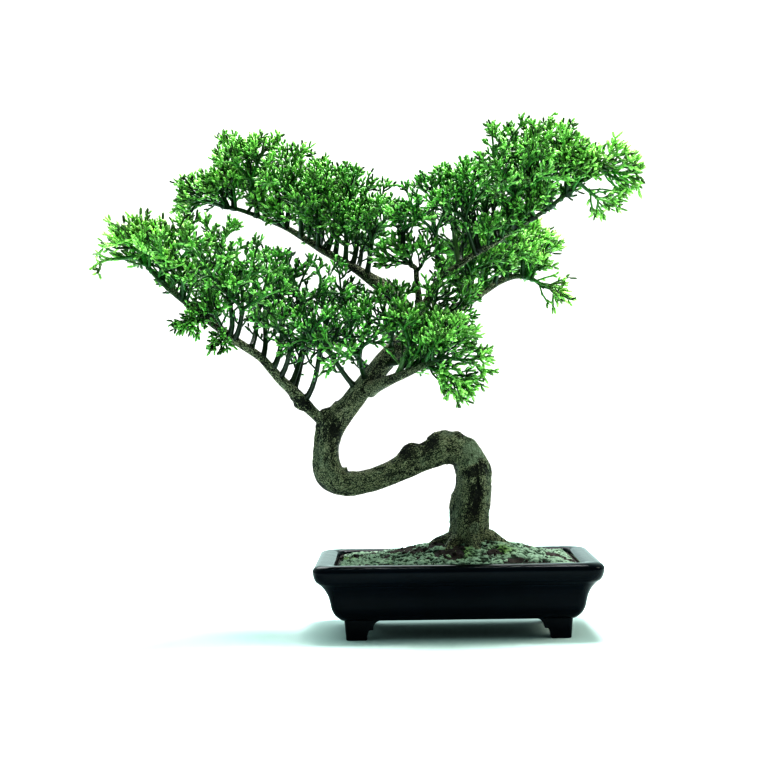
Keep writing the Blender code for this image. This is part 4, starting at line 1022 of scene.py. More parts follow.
def root_points(degrees, reach, radius):
    """A surface root: out from the trunk's foot, along the mound, and down into the soil."""
    angle = math.radians(degrees)
    points = []
    for (share, lift), taper in zip(ROOT_LIFT, ROOT_TAPER):
        bend = ROOT_BEND * math.sin(3.0 * share + degrees)
        x = MOUND_X + reach * share * math.cos(angle + bend)
        y = reach * share * math.sin(angle + bend)
        points.append((x, y, float(soil_height(x, y)) + lift - ROOT_SINK * radius, radius * taper))
    return points


def point_on_limb(limb, place):
    """Middle, radius and tangent of a limb at a place counted in points."""
    path, places = smooth_path(LIMBS[limb][0], 6)
    tangent = unit(np.gradient(path[:, :3], axis=0))
    row = [np.interp(place, places, path[:, column]) for column in range(4)]
    along = unit(np.array([np.interp(place, places, tangent[:, column]) for column in range(3)]))
    return np.array(row[:3]), row[3], along


def planned_sprays():
    """Every spray as (name, limb, place, height, heading)."""
    sprays = []
    for name, limb, first, last, count, heights, leans in SPRAY_ROWS:
        for index in range(count):
            share = index / (count - 1)
            place = first + (last - first) * share
            height = float(np.interp(share, (0, 0.5, 1), heights))
            heading = (leans[0] + (leans[1] - leans[0]) * share, DEPTH_LEANS[index % len(DEPTH_LEANS)], 1.0)
            sprays.append((f"{name}_{index + 1:02d}", limb, place, height, heading))
    return sprays + list(SINGLE_SPRAYS)


class Taken:
    """Room that wood and shoots already take, as round-ended rods."""

    def __init__(self):
        self.starts = np.zeros((0, 3))
        self.ends = np.zeros((0, 3))
        self.radii = np.zeros(0)

    def add(self, start, end, radius):
        self.starts = np.vstack([self.starts, start])
        self.ends = np.vstack([self.ends, end])
        self.radii = np.append(self.radii, radius)

    def gap(self, start, end, radius, skipped, first_share=SHOOT_START):
        """Least gap between a new rod and the rest, from points spread along the new one."""
        shares = np.linspace(first_share, 1.0, GAP_SAMPLES)
        samples = start + (end - start) * shares[:, None]
        span = self.ends - self.starts
        offset = samples[:, None, :] - self.starts[None]
        place = np.clip((offset * span).sum(2) / (span * span).sum(1), 0.0, 1.0)
        distance = np.linalg.norm(offset - place[:, :, None] * span, axis=2) - self.radii - radius
        distance[:, skipped] = np.inf
        return distance.min()


def take_wood(taken):
    """Note the room of every limb, a little swollen for its flutes and knobs."""
    for points, steps, _ in LIMBS.values():
        path, _ = smooth_path(points, max(steps, 2))
        for start, end in zip(path[:-1], path[1:]):
            taken.add(start[:3], end[:3], WOOD_SWELL * max(start[3], end[3]))


def turned(vector, axis, degrees):
    """A vector at right angles to the axis, turned round it."""
    angle = math.radians(degrees)
    return vector * math.cos(angle) + np.cross(axis, vector) * math.sin(angle)


def shoot_heading(axis, inner, side, rng, pull):
    """Heading of a fork's shoot: out over one side of its parent and pulled towards the light."""
    out = -turned(inner, axis, 360.0 / FORK_WAYS * side)
    out = turned(out, axis, rng.uniform(-FORK_TURN, FORK_TURN))
    angle = math.radians(rng.uniform(*FORK_ANGLE))
    lift = LIFT * rng.uniform(*LIFT_SPREAD)
    return unit(axis * math.cos(angle) + out * math.sin(angle) + lift * pull)


def least_angle(axis, family):
    """Least angle in degrees between a new shoot and the shoots already at its fork."""
    angles = [math.degrees(math.acos(min(1.0, axis @ other))) for _, other in family]
    return min(angles, default=180.0)


def grow_spray(spray, taken):
    """Shoots of one spray, as the solids have them: a stem, forks in three, and short end shoots.

    Each shoot is a dictionary with its start and end, its parent's axis, its own axis, the inner
    direction, its radius, and its tier: 0 for an end shoot, counted up towards the stem.
    """
    name, limb, place, height, heading = spray
    rng = random.Random(name)
    small = height <= SMALL_SPRAY
    shares = SMALL_SHARES if small else SHOOT_SHARES
    radii = (SHOOT_RADII[0] * (SMALL_STEM if small else 1.0), *SHOOT_RADII[1:])
    middle, limb_radius, along = point_on_limb(limb, place)
    axis = unit(np.array(heading, float))
    normal = unit(axis - STEM_SLANT * (axis @ along) * along)
    start = middle + normal * (limb_radius + SEAT_GAP)
    pull = unit(axis + np.array((0.0, 0.0, LIGHT if axis[2] > HANGING else 0.0)))
    inner = unit(np.cross(axis, INNER_GUIDE))
    end = start + axis * height * shares[0] * rng.uniform(*STEM_SPREAD)
    shoots = [dict(start=start, end=end, before=normal, axis=axis, inner=inner, radius=radii[0], level=0,
                   tier=len(shares), pull=pull)]
    first_index = len(taken.radii)
    taken.add(start, end, radii[0])
    index = 0
    while index < len(shoots):
        parent = shoots[index]
        level = parent["level"] + 1
        index += 1
        if level > len(shares):
            continue
        family = []
        for side in range(FORK_WAYS):
            for _ in range(TRIES):
                axis = shoot_heading(parent["axis"], parent["inner"], side, rng, pull)
                length = rng.uniform(*FINGER_LENGTH)
                if level < len(shares):
                    length = height * shares[level] * rng.uniform(*LENGTH_SPREAD)
                end = parent["end"] + axis * length
                radius = radii[level if level < len(shares) else -1]
                skipped = [first_index + index - 1] + [number for number, _ in family]
                if least_angle(axis, family) < SIBLING_ANGLE:
                    continue
                if taken.gap(parent["end"], end, radius, skipped) < SHOOT_CLEARANCE:
                    continue
                inner = unit(parent["axis"] - (parent["axis"] @ axis) * axis)
                family.append((len(taken.radii), axis))
                taken.add(parent["end"], end, radius)
                shoots.append(dict(start=parent["end"], end=end, before=parent["axis"], axis=axis,
                                   inner=inner, radius=radius, level=level, tier=len(shares) - level,
                                   pull=pull))
                break
    return shoots


class Rods:
    """Many thin shoots as whole arrays: ends, frames, radii, age from 0 young to 1 woody, tone and light."""

    FIELDS = ("start", "bend", "end", "axis", "inner", "pull", "foot", "tip", "old", "young", "tone", "light")

    def __init__(self, **arrays):
        for field in self.FIELDS:
            setattr(self, field, np.asarray(arrays[field], float))

    @classmethod
    def joined(cls, groups):
        """Several groups of rods as one."""
        return cls(**{field: np.concatenate([getattr(group, field) for group in groups])
                      for field in cls.FIELDS})

    def picked(self, chosen):
        """The rods that a mask chooses."""
        return Rods(**{field: getattr(self, field)[chosen] for field in self.FIELDS})

    def __len__(self):
        return len(self.start)


def frame_rods(shoots, tier, tone, rng):
    """The solids' shoots of one tier as rods that leave their parent along its own axis."""
    rows = [shoot for shoot in shoots if shoot["tier"] == tier]
    start, end, before, axis, inner, pull = (np.array([row[key] for row in rows]).reshape(-1, 3)
                                             for key in ("start", "end", "before", "axis", "inner", "pull"))
    radius = np.array([row["radius"] for row in rows])
    length = np.linalg.norm(end - start, axis=1)[:, None]
    reach = FORK_REACH if tier else END_REACH
    ages = TIER_AGES[tier]
    foot, tip = STEM_THINNING[tier]
    if tier and tier == max(shoot["tier"] for shoot in shoots):
        ages = (1.0, ages[1])
        start = start - STEM_SINK * before
    return Rods(start=start, bend=start + before * length * reach, end=end, axis=axis, inner=inner, pull=pull,
                foot=radius * foot, tip=radius * tip,
                old=np.full(len(rows), ages[0]), young=np.full(len(rows), ages[1]),
                tone=np.full(len(rows), tone), light=rng.uniform(0.25, 0.75, len(rows)))


def sprout(parents, count, where, lean, length, thickness, ages, rng):
    """Side shoots: count for each parent, spread round it by the golden angle and leaning out.

    A shoot starts at a share of its parent's length. Its axis is the parent's axis turned out by the
    lean, with a little of the pull to the light added.
    """
    number = len(parents)
    order = np.arange(count)[None, :]
    share = where[0] + (where[1] - where[0]) * (order + rng.uniform(0.1, 0.9, (number, count))) / count
    turn = (GOLDEN_TURN * order + rng.uniform(0, 2 * math.pi, (number, 1))
            + rng.uniform(-TURN_SPREAD, TURN_SPREAD, (number, count)))
    side = np.cross(parents.axis, parents.inner)[:, None]
    out = np.cos(turn)[..., None] * parents.inner[:, None] + np.sin(turn)[..., None] * side
    angle = np.radians(rng.uniform(*lean, (number, count)))[..., None]
    axis = unit(np.cos(angle) * parents.axis[:, None] + np.sin(angle) * out
                + rng.uniform(0.0, TWIG_LIFT, (number, count, 1)) * parents.pull[:, None])
    t = share[..., None]
    start = ((1 - t) ** 2 * parents.start[:, None] + 2 * t * (1 - t) * parents.bend[:, None]
             + t ** 2 * parents.end[:, None])
    fresh = np.clip(parents.tone * 2.5 - 1.5, 0, 1)[:, None]
    stretch = 1 + FRESH_STRETCH * fresh
    reach = (rng.uniform(*length, (number, count)) * stretch)[..., None]
    end = start + axis * reach
    bend = (start + reach * (BEND_ALONG * axis + BEND_OUT * out)
            + rng.normal(0, BEND_SPREAD, (number, count, 3)) * reach)
    inner = unit(np.cross(axis, out) + 1e-6)
    size = thickness * rng.uniform(*TWIG_SPREAD, (number, count)) * (1 + FRESH_SWELL * fresh)
    age = parents.old[:, None] + (parents.young - parents.old)[:, None] * share
    tone = parents.tone[:, None] + rng.uniform(-0.18, 0.18, (number, count))
    light = 0.35 * parents.light[:, None] + 0.65 * rng.uniform(-0.1, 1.1, (number, count))
    flat = (number * count, 3)
    rods = Rods(start=start.reshape(flat), bend=bend.reshape(flat), end=end.reshape(flat),
                axis=axis.reshape(flat), inner=inner.reshape(flat),
                pull=np.repeat(parents.pull, count, axis=0), foot=size.ravel(), tip=size.ravel(),
                old=np.minimum(age, ages[0]).ravel(), young=np.minimum(age, ages[1]).ravel(), tone=tone.ravel(),
                light=light.ravel())
    return rods.picked((rng.uniform(0, 1, (number, count)) > FRESH_SPARSE * fresh).ravel())


def inside_box(rods, margin=1.0):
    """Whether each rod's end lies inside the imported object's box, by a margin for its thickness."""
    low = (np.array(CAD_LOW) - PLACE) / MM + margin
    high = (np.array(CAD_HIGH) - PLACE) / MM - margin
    return ((rods.end > low) & (rods.end < high)).all(axis=1)


def add_rods(shells, rods, sides, shares, profile):
    """Sweep every rod at once: a circle carried along a curve with three control points.

    The middle at share t is (1-t)^2 start + 2t(1-t) bend + t^2 end, and the radius goes from foot to
    tip, times the profile.
    """
    t = np.asarray(shares, float)[None, :, None]
    start, bend, end = (part[:, None] for part in (rods.start, rods.bend, rods.end))
    middle = (1 - t) ** 2 * start + 2 * t * (1 - t) * bend + t ** 2 * end
    along = unit(2 * (1 - t) * (bend - start) + 2 * t * (end - bend))
    first = unit(rods.inner[:, None] - (rods.inner[:, None] * along).sum(-1, keepdims=True) * along)
    second = np.cross(along, first)
    radius = (rods.foot[:, None] + (rods.tip - rods.foot)[:, None] * t[..., 0]) * np.asarray(profile)[None]
    angle = (np.arange(sides) * 2 * math.pi / sides)[None, None, :, None]
    ring = middle[:, :, None] + radius[:, :, None, None] * (
        np.cos(angle) * first[:, :, None] + np.sin(angle) * second[:, :, None])
    number = len(rods)
    poles = np.stack([rods.start - 0.4 * rods.foot[:, None] * along[:, 0],
                      rods.end + 0.35 * rods.tip[:, None] * along[:, -1]], 1)
    rings = len(shares)
    size = rings * sides + 2
    points = np.concatenate([ring.reshape(number, rings * sides, 3), poles], 1)
    age = rods.old[:, None] + (rods.young - rods.old)[:, None] * t[..., 0]
    age = np.concatenate([np.repeat(age, sides, 1), rods.old[:, None], rods.young[:, None]], 1)
    tone, light = (np.clip(np.repeat(value[:, None], size, 1), 0, 1) for value in (rods.tone, rods.light))
    # Age, tone and light of each point; the light is painted light and shade on the shoot
    growth = np.stack([age * (1 - 0.4 * tone), tone, light], -1)
    shells.add_copies(points, *tube_faces(rings, sides), growth=growth)


# Share of fresh green and of painted sunlight along each limb, at its start, at two thirds and at its end: it
# makes shoots longer and sparser, and mixes the sunny copy of the shoot colours over the shaded one
FRESH_AND_SUNLIT = {
    "left": (0.04, 0.30, 1.0), "back": (0.20, 0.36, 0.50), "right": (0.10, 0.40, 0.75),
    "rear": (0.45, 0.60, 0.90), "front": (0.25, 0.42, 0.60), "side": (0.22, 0.25, 0.3),
    "trunk": (0.1, 0.1, 0.25),
}


def spray_tone(limb, place):
    """Share of fresh green and of painted sunlight in a spray, from its place along the limb."""
    share = place / (len(LIMBS[limb][0]) - 1)
    return float(np.interp(share, (0.2, 0.67, 0.95), FRESH_AND_SUNLIT[limb]))


def grow_group(shells, sprays, settings, rng):
    """Fine shoots of several sprays: the solids' stems and forks, then side twigs, then fingers."""
    thick = settings.thickness / 2 / MM
    ends = []
    twigs = []
    for limb, place, shoots in sprays:
        tone = spray_tone(limb, place)
        ends.append(frame_rods(shoots, 0, tone, rng))
        top = shoots[0]["tier"]
        for tier in range(1, top + 1):
            rods = frame_rods(shoots, tier, tone, rng)
            twigs.append(rods)
            ends.append(sprout(rods, *SIDE_TWIGS[tier if tier < top else 3], 0.78 * thick, TWIG_AGES, rng))
    ends = Rods.joined(ends)
    ends = ends.picked(inside_box(ends))
    fingers = Rods.joined([sprout(ends, *TIP_FINGERS, thick, FINGER_AGES, rng),
                           sprout(ends, *SIDE_FINGERS, thick, FINGER_AGES, rng)])
    fingers = fingers.picked(inside_box(fingers))
    shares = np.linspace(0, 1, TWIG_RINGS)
    add_rods(shells, Rods.joined(twigs), TWIG_SIDES, shares, 1 + 0.5 * np.exp(-(shares / 0.12) ** 2))
    add_rods(shells, ends, END_SIDES, END_SHARES, END_PROFILE)
    add_rods(shells, fingers, END_SIDES, FINGER_SHARES, FINGER_PROFILE)


def trim_spray(name, limb, place, shoots):
    """A spray on the fine wood: moved with its limb, and drawn in to its pad's outline from its foot."""
    across, upwards = TRIMMED.get(name, (1.0, 1.0))
    shares = np.array([across, across ** 0.5, upwards])
    foot = shoots[0]["start"]
    shift = wood_change(limb, place)
    moved = foot + (shift[0], 0.0, shift[1])
    trimmed = []
    for shoot in shoots:
        drawn = {key: moved + (shoot[key] - foot) * shares for key in ("start", "end")}
        drawn.update({key: unit(shoot[key] * shares) for key in ("before", "axis")})
        drawn["inner"] = unit(shoot["inner"] - (shoot["inner"] @ drawn["axis"]) * drawn["axis"])
        trimmed.append({**shoot, **drawn})
    return trimmed


def rounded_rectangle(half_x, half_y, corner):
    """Points of a rectangle with round corners, anticlockwise: arcs joined by divided sides."""
    arc = np.linspace(0, math.pi / 2, CORNER_STEPS + 1)
    sides = ((1, 1), (-1, 1), (-1, -1), (1, -1))
    arcs = [np.stack([x * (half_x - corner) + corner * np.cos(arc + quarter * math.pi / 2),
                      y * (half_y - corner) + corner * np.sin(arc + quarter * math.pi / 2)], -1)
            for quarter, (x, y) in enumerate(sides)]
    share = (np.arange(1, SIDE_STEPS) / SIDE_STEPS)[:, None]
    pieces = []
    for quarter in range(4):
        start, end = arcs[quarter][-1], arcs[(quarter + 1) % 4][0]
        pieces += [arcs[quarter], start + (end - start) * share]
    return np.vstack(pieces)


def tray_ring(inset, height):
    """One level ring of the tray, drawn in from the rim's outer edge by inset."""
    corner = max(RIM_CORNER - CORNER_SHRINK * inset, CORNER_LEAST)
    plan = rounded_rectangle(RIM_HALF_WIDTH - inset, RIM_HALF_DEPTH - inset, corner)
    return np.column_stack([plan, np.full(len(plan), height)])


def ring_quads(rings, count):
    """Quads between successive closed rings of count points."""
    ring = np.arange(rings - 1)[:, None] * count
    step = np.arange(count)[None]
    after = (step + 1) % count
    return np.stack([ring + step, ring + after, ring + count + after, ring + count + step], -1).reshape(-1, 4)


def floor_half(ring, side, shares):
    """Half a level plate with a round hole: rings that go from its outline to the hole's edge.

    A ring's points lie on the lines from each outline point to the hole's point in its direction.
    """
    kept = ring[ring[:, 0] * side >= -1e-6]
    kept = kept[np.argsort(np.arctan2(kept[:, 1], kept[:, 0] * side))]
    middle = np.linspace(kept[-1], kept[0], FLOOR_SEAM_STEPS)[1:-1]
    outline = np.vstack([kept, middle])
    centre = np.array([side * DRAIN_X, 0.0, ring[0, 2]])
    spoke = unit(outline - centre)
    hole = centre + (DRAIN_RADIUS + DRAIN_ROUND) * spoke
    return outline + (hole - outline) * np.asarray(shares)[:, None, None], spoke, centre


def add_floor(shells):
    """The tray's floor: two plates with round holes below and above, joined by the holes' walls."""
    low, high = tray_ring(*TRAY_PROFILE[0]), tray_ring(*TRAY_PROFILE[-1])
    for side in (-1, 1):
        under, spoke, centre = floor_half(low, side, np.linspace(0, 1, FLOOR_RINGS))
        over = floor_half(high, side, np.linspace(0, 1, FLOOR_RINGS))[0][::-1]
        rows = []
        for level, sign in ((UNDERSIDE, 1), (FLOOR_TOP, -1)):
            turn = np.linspace(0, math.pi / 2, DRAIN_STEPS + 1)[1:]
            bend = [(DRAIN_RADIUS + DRAIN_ROUND * (1 - math.sin(a)),
                     level + sign * DRAIN_ROUND * (1 - math.cos(a))) for a in turn]
            rows += bend if sign > 0 else bend[::-1]
        wall = [np.column_stack([centre[:2] + radius * spoke[:, :2], np.full(len(spoke), height)])
                for radius, height in rows]
        rings = np.concatenate([under, wall, over])
        quads = ring_quads(len(rings), len(spoke))
        if side > 0:
            quads = quads[:, ::-1]
        shells.add(rings.reshape(-1, 3), quads[:, ::-1], NO_TRIANGLES)


def add_foot(shells, side_x, side_y):
    """One bracket foot: L-shaped levels whose arms grow upwards through a shelf and a cove."""
    cove = np.linspace(0, math.pi / 2, FOOT_COVE_STEPS + 1)
    levels = list(FOOT_ARM_LOW) + [
        (FOOT_SHELF_Z + FOOT_COVE_RADIUS * math.sin(a), FOOT_SHELF_ARM + FOOT_COVE_RADIUS * (1 - math.cos(a)))
        for a in cove] + [(FOOT_TOP, FOOT_SHELF_ARM + FOOT_COVE_RADIUS)]
    arc = np.linspace(0, math.pi / 2, FOOT_EDGE_STEPS + 1)
    corner = FOOT_EDGE * np.stack([1 - np.cos(arc), 1 - np.sin(arc)], -1)
    rings = []
    for height, arm in levels:
        outer = FOOT_INSET + FOOT_BATTER * (FOOT_TOP - height)
        inner = ((arm, 0), (arm, FOOT_THICKNESS), (FOOT_THICKNESS, FOOT_THICKNESS), (FOOT_THICKNESS, arm),
                 (0, arm))
        plan = np.vstack([corner, inner])
        rings.append(np.column_stack([side_x * (RIM_HALF_WIDTH - outer - plan[:, 0]),
                                      side_y * (RIM_HALF_DEPTH - outer - plan[:, 1]),
                                      np.full(len(plan), height)]))
    count = len(rings[0])
    middle = FOOT_INSET + FOOT_MIDDLE * FOOT_THICKNESS
    centres = [(side_x * (RIM_HALF_WIDTH - middle), side_y * (RIM_HALF_DEPTH - middle), height)
               for height in (levels[0][0], levels[-1][0])]
    quads, triangles = tube_faces(len(rings), count)
    if side_x * side_y > 0:
        quads, triangles = quads[:, ::-1], triangles[:, ::-1]
    shells.add(np.vstack([*rings, *centres]), quads, triangles)


def make_tray(settings):
    """The tray: its smoothed profile carried round the rounded rectangle, with floor, holes and feet."""
    shells = Shells()
    profile, _ = smooth_path([(inset, height, 0, 1) for inset, height in TRAY_PROFILE], PROFILE_STEPS)
    profile[:, 1] = np.clip(profile[:, 1], UNDERSIDE, RIM_TOP)
    profile[:, 0] = np.maximum(profile[:, 0], 0.0)
    rings = [tray_ring(inset, height) for inset, height in profile[:, :2]]
    shells.add(np.vstack(rings), ring_quads(len(rings), len(rings[0])), NO_TRIANGLES)
    add_floor(shells)
    for side_x in (-1, 1):
        for side_y in (-1, 1):
            add_foot(shells, side_x, side_y)
    tray = shells.build("glazed_tray", glaze_material(settings), ("pot",))
    weld(tray.data, WELD_GAP)
    tray.data.set_sharp_from_angle(angle=SHARP_ANGLE)
    bevel = tray.modifiers.new("soft_edges", "BEVEL")
    bevel.width = settings.edge_round
    bevel.segments = 2
    bevel.limit_method = "ANGLE"
    bevel.angle_limit = SHARP_ANGLE
    bevel.harden_normals = True
    return tray


def weld(mesh, distance):
    """Merge points closer than a distance and turn the faces outwards."""
    shell = bmesh.new()
    shell.from_mesh(mesh)
    bmesh.ops.remove_doubles(shell, verts=shell.verts, dist=distance)
    bmesh.ops.recalc_face_normals(shell, faces=shell.faces)
    shell.to_mesh(mesh)
    shell.free()


def soil_plan(steps_x, steps_y):
    """A grid over the inside of the tray: a plain grid whose corner squares are rounded off.

    In a corner square a point (a, b) goes to (a sqrt(1 - b^2 / 2), b sqrt(1 - a^2 / 2)).
    """
    half_x, half_y = SOIL_HALF
    x, y = np.meshgrid(np.linspace(-half_x, half_x, steps_x), np.linspace(-half_y, half_y, steps_y))
    a = np.clip((np.abs(x) - half_x + SOIL_CORNER) / SOIL_CORNER, 0, 1)
    b = np.clip((np.abs(y) - half_y + SOIL_CORNER) / SOIL_CORNER, 0, 1)
    move_x = SOIL_CORNER * (a * np.sqrt(1 - b * b / 2) - a) * np.sign(x)
    move_y = SOIL_CORNER * (b * np.sqrt(1 - a * a / 2) - b) * np.sign(y)
    return x + move_x, y + move_y


def grid_quads(rows, columns):
    """Quads of a grid of rows by columns points."""
    row = np.arange(rows - 1)[:, None] * columns
    column = np.arange(columns - 1)[None]
    low = row + column
    return np.stack([low, low + 1, low + columns + 1, low + columns], -1).reshape(-1, 4)


def grid_border(rows, columns):
    """Points round the edge of a grid of rows by columns points, in order."""
    index = np.arange(rows * columns).reshape(rows, columns)
    return np.concatenate([index[0, :-1], index[:-1, -1], index[-1, :0:-1], index[:0:-1, 0]])


def make_soil(settings):
    """The soil: a height field over the tray's inside, with a skirt down its walls and a flat base."""
    shells = Shells()
    x, y = soil_plan(*SOIL_STEPS)
    z = soil_height(x, y) + settings.crumb_height / MM * wall_fade(x, y, SOIL_FADE) * soil_crumb(x, y)
    rows, columns = x.shape
    border = grid_border(rows, columns)
    points = np.stack([x, y, z], -1).reshape(-1, 3)
    rim = points[border]
    skirt = []
    for inset, height in SOIL_SKIRT:
        shrink = (SOIL_HALF + SOIL_TOP_INSET - inset) / SOIL_HALF
        skirt.append(np.column_stack([rim[:, :2] * shrink, np.full(len(rim), height)]))
    walls = np.concatenate([[rim], skirt])
    count = len(rim)
    quads = ring_quads(len(walls), count)
    ids = np.concatenate([border, rows * columns + np.arange(count * len(skirt))])
    quads = ids[quads][:, ::-1]
    centre = rows * columns + count * len(skirt)
    last = ids[-count:]
    base = np.stack([last, np.roll(last, -1), np.full(count, centre)], -1)[:, ::-1]
    shells.add(np.vstack([points, *skirt, [[0.0, 0.0, SOIL_SKIRT[-1][1]]]]),
               np.vstack([grid_quads(rows, columns), quads]), base)
    return shells.build("moist_soil", soil_material(settings), ("soil",))


def make_grains(settings):
    """Loose crumbs on the soil: rounded lumps, each a small sphere grid squashed and knocked about."""
    rng = np.random.default_rng(17)
    number = settings.grains
    x, y = (rng.uniform(-reach, reach, number) for reach in STREWN)
    size = rng.uniform(GRAIN_SMALLEST, 1.0, number) ** GRAIN_RARITY * GRAIN_RADIUS
    z = soil_height(x, y) + settings.crumb_height / MM * soil_crumb(x, y) + GRAIN_RAISED * size
    polar = np.array(GRAIN_RINGS)
    sides = GRAIN_SIDES
    turn = np.arange(sides) * 2 * math.pi / sides
    ball = np.stack([np.sin(polar)[:, None] * np.cos(turn), np.sin(polar)[:, None] * np.sin(turn),
                     np.cos(polar)[:, None] + 0 * turn], -1).reshape(-1, 3)[::-1].reshape(len(polar), sides, 3)
    ball = ball[:, ::-1].reshape(-1, 3)
    ball = np.vstack([ball, [[0, 0, -1], [0, 0, 1]]])
    stretch = rng.uniform(*GRAIN_STRETCH, (number, 1, 3)) * (1, 1, 0.8)
    knock = 1 + rng.uniform(-GRAIN_KNOCK, GRAIN_KNOCK, (number, len(ball), 1))
    points = ball[None] * knock * stretch * size[:, None, None] + np.stack([x, y, z], -1)[:, None]
    shells = Shells()
    shells.add_copies(points, *tube_faces(len(polar), sides))
    grains = shells.build("soil_crumbs", soil_material(settings), ())
    weld(grains.data, 1e-7)
    return grains


def make_moss(settings):
    """Moss: a closed sheet of cushions that dips into the soil between them, with short shoots on it.

    Each shoot is a four-sided spike that leans out at random.
    """
    shells = Shells()
    x, y = soil_plan(*MOSS_STEPS)
    fade = wall_fade(x, y, MOSS_FADE)
    ground = soil_height(x, y)
    height, bright, sunny = moss_swell(x, y, settings.cover)
    top = np.stack([x, y, ground + fade * height - (1 - fade) * 0.6], -1)
    rows, columns = x.shape
    border = grid_border(rows, columns)
    base = np.stack([border, np.roll(border, -1), np.full(len(border), rows * columns)], -1)[:, ::-1]
    # The tip attribute carries the painted brightness and the sunny share
    look = np.stack([bright, sunny, np.zeros_like(x)], -1).reshape(-1, 3)
    shells.add(np.vstack([top.reshape(-1, 3), [[0.0, 0.0, SOIL_EDGE - 6.0]]]), grid_quads(rows, columns), base,
               tip=np.vstack([look, [[0, 0, 0]]]))
    rng = np.random.default_rng(29)
    x, y = (rng.uniform(-reach, reach, settings.shoots) for reach in STREWN)
    height, bright, sunny = moss_swell(x, y, settings.cover)
    kept = ((height > MOSS_LEAST) & ((x - MOUND_X) ** 2 + y ** 2 > MOSS_TRUNK_ROOM ** 2)
            & (wall_fade(x, y, MOSS_WALL_ROOM) >= 1))
    x, y, height, bright, sunny = (value[kept] for value in (x, y, height, bright, sunny))
    number = len(x)
    rise = rng.uniform(*MOSS_RISE, number) + 0.6 * np.clip(sunny, 0, 1)
    lean = rng.normal(0, MOSS_LEAN, (number, 2))
    base = np.stack([x, y, soil_height(x, y) + height - 0.5], -1)
    tip = base + np.column_stack([lean, rise + 0.4])
    sides = MOSS_SIDES
    turn = np.arange(sides) * 2 * math.pi / sides + rng.uniform(0, 2, (number, 1))
    radius = rng.uniform(*MOSS_RADIUS, number)[:, None]
    ring = np.stack([np.cos(turn) * radius, np.sin(turn) * radius, np.zeros_like(turn)], -1)
    low = base[:, None] - (0, 0, 0.5) + ring * 0.8
    waist = base[:, None] + 0.45 * (tip - base)[:, None] + ring
    points = np.concatenate([low, waist, base[:, None] - (0, 0, 0.7), tip[:, None]], 1)
    bright = np.clip(bright[:, None] + rng.uniform(-0.25, 0.35, (number, 1)), 0.05, 1.2)
    tips = np.concatenate([np.repeat(bright * 0.3, sides, 1), np.repeat(bright * 0.8, sides, 1),
                           bright * 0.3, bright], 1)
    look = np.stack([tips, np.repeat(sunny[:, None], 2 * sides + 2, 1), 0 * tips], -1)
    shells.add_copies(points, *tube_faces(2, sides), tip=look)
    return shells.build("moss_cushions", moss_material(settings), ())


def make_wood(settings):
    """The trunk, its limbs and surface roots: swept limbs whose collars sink into their parents."""
    shells = Shells()
    depth = settings.bark_depth / MM
    for limb, (points, _, reference) in LIMBS.items():
        sides = TRUNK_SIDES if limb == "trunk" else LIMB_SIDES
        add_limb(shells, limb, points, sides, reference, depth, collar=limb != "trunk")
    for row in ROOTS:
        add_limb(shells, "root", root_points(*row), ROOT_SIDES, UP, depth * 1.2)
    return shells.build("trunk_wood", bark_material(settings), ("trunk",))


def extra_sprays():
    """Sprays between the solids' ones and short ones near the limbs, as planned_sprays lists them."""
    rng = random.Random("between")
    sprays = []
    for limb, first, last, count, heights, leans in EXTRA_ROWS:
        for index in range(count):
            share = (index + rng.uniform(-0.3, 0.3)) / (count - 1)
            height = float(np.interp(share, (0, 0.5, 1), heights))
            lean = leans[0] + (leans[1] - leans[0]) * share + rng.uniform(-0.3, 0.3)
            heading = (lean, EXTRA_LEANS[index % len(EXTRA_LEANS)], 1.0)
            sprays.append((f"extra_{limb}_{index}", limb, first + (last - first) * share, height, heading))
    for limb, first, last, count, heights in LOW_ROWS:
        for index in range(count):
            share = (index + rng.uniform(0.1, 0.9)) / count
            side = rng.uniform(0.35, 1.1) * (1 if index % 2 else -1)
            heading = (rng.uniform(-0.8, 0.8), side, rng.uniform(0.5, 1.1))
            sprays.append((f"low_{limb}_{first}_{index}", limb, first + (last - first) * share,
                           rng.uniform(*heights), heading))
    return sprays + [(f"single_{index}", *row) for index, row in enumerate(EXTRA_SINGLES)]


def make_sprays(settings):
    """Every spray, gathered by limb, each group in the place of its own nodes."""
    taken = Taken()
    take_wood(taken)
    planned = planned_sprays()
    groups = {}
    for spray in planned + extra_sprays():
        name, limb, place = spray[:3]
        shoots = trim_spray(name, limb, place, grow_spray(spray, taken))
        groups.setdefault(limb, []).append((limb, place, shoots))
    material = foliage_material(settings)
    for limb, sprays in groups.items():
        shells = Shells()
        rng = np.random.default_rng(len(sprays) * 101 + len(limb))
        grow_group(shells, sprays, settings, rng)
        title = "crown" if limb == "trunk" else limb
        nodes = [spray[0] for spray in planned if spray[1] == limb]
        shells.build(f"shoots_{title}", material, nodes)


def colour_setting(name, description, hex_colour):
    """A colour that a user can change, given as an sRGB hex value."""
    return bpy.props.FloatVectorProperty(
        name=name, description=description, subtype="COLOR", size=3, min=0, max=1,
        default=linear(hex_colour)[:3])


def length_setting(name, description, default, least, most):
    """A length in metres that a user can change."""
    return bpy.props.FloatProperty(name=name, description=description, subtype="DISTANCE",
                                   unit="LENGTH", default=default, min=least, max=most)


class TraySettings(bpy.types.PropertyGroup):
    """Finish of the glazed tray."""

    glaze_deep: colour_setting("Deep glaze", "Colour where the glaze lies thick", "#04070B")
    glaze_thin: colour_setting("Thin glaze", "Colour where the glaze lies thin", "#0A131C")
    glaze_roughness: bpy.props.FloatProperty(
        name="Glaze roughness", description="Blur of the glaze's reflections", default=0.1, min=0, max=1)
    edge_round: length_setting("Edge round", "Width of the rounding along sharp edges", 0.35 * MM, 0, 0.002)


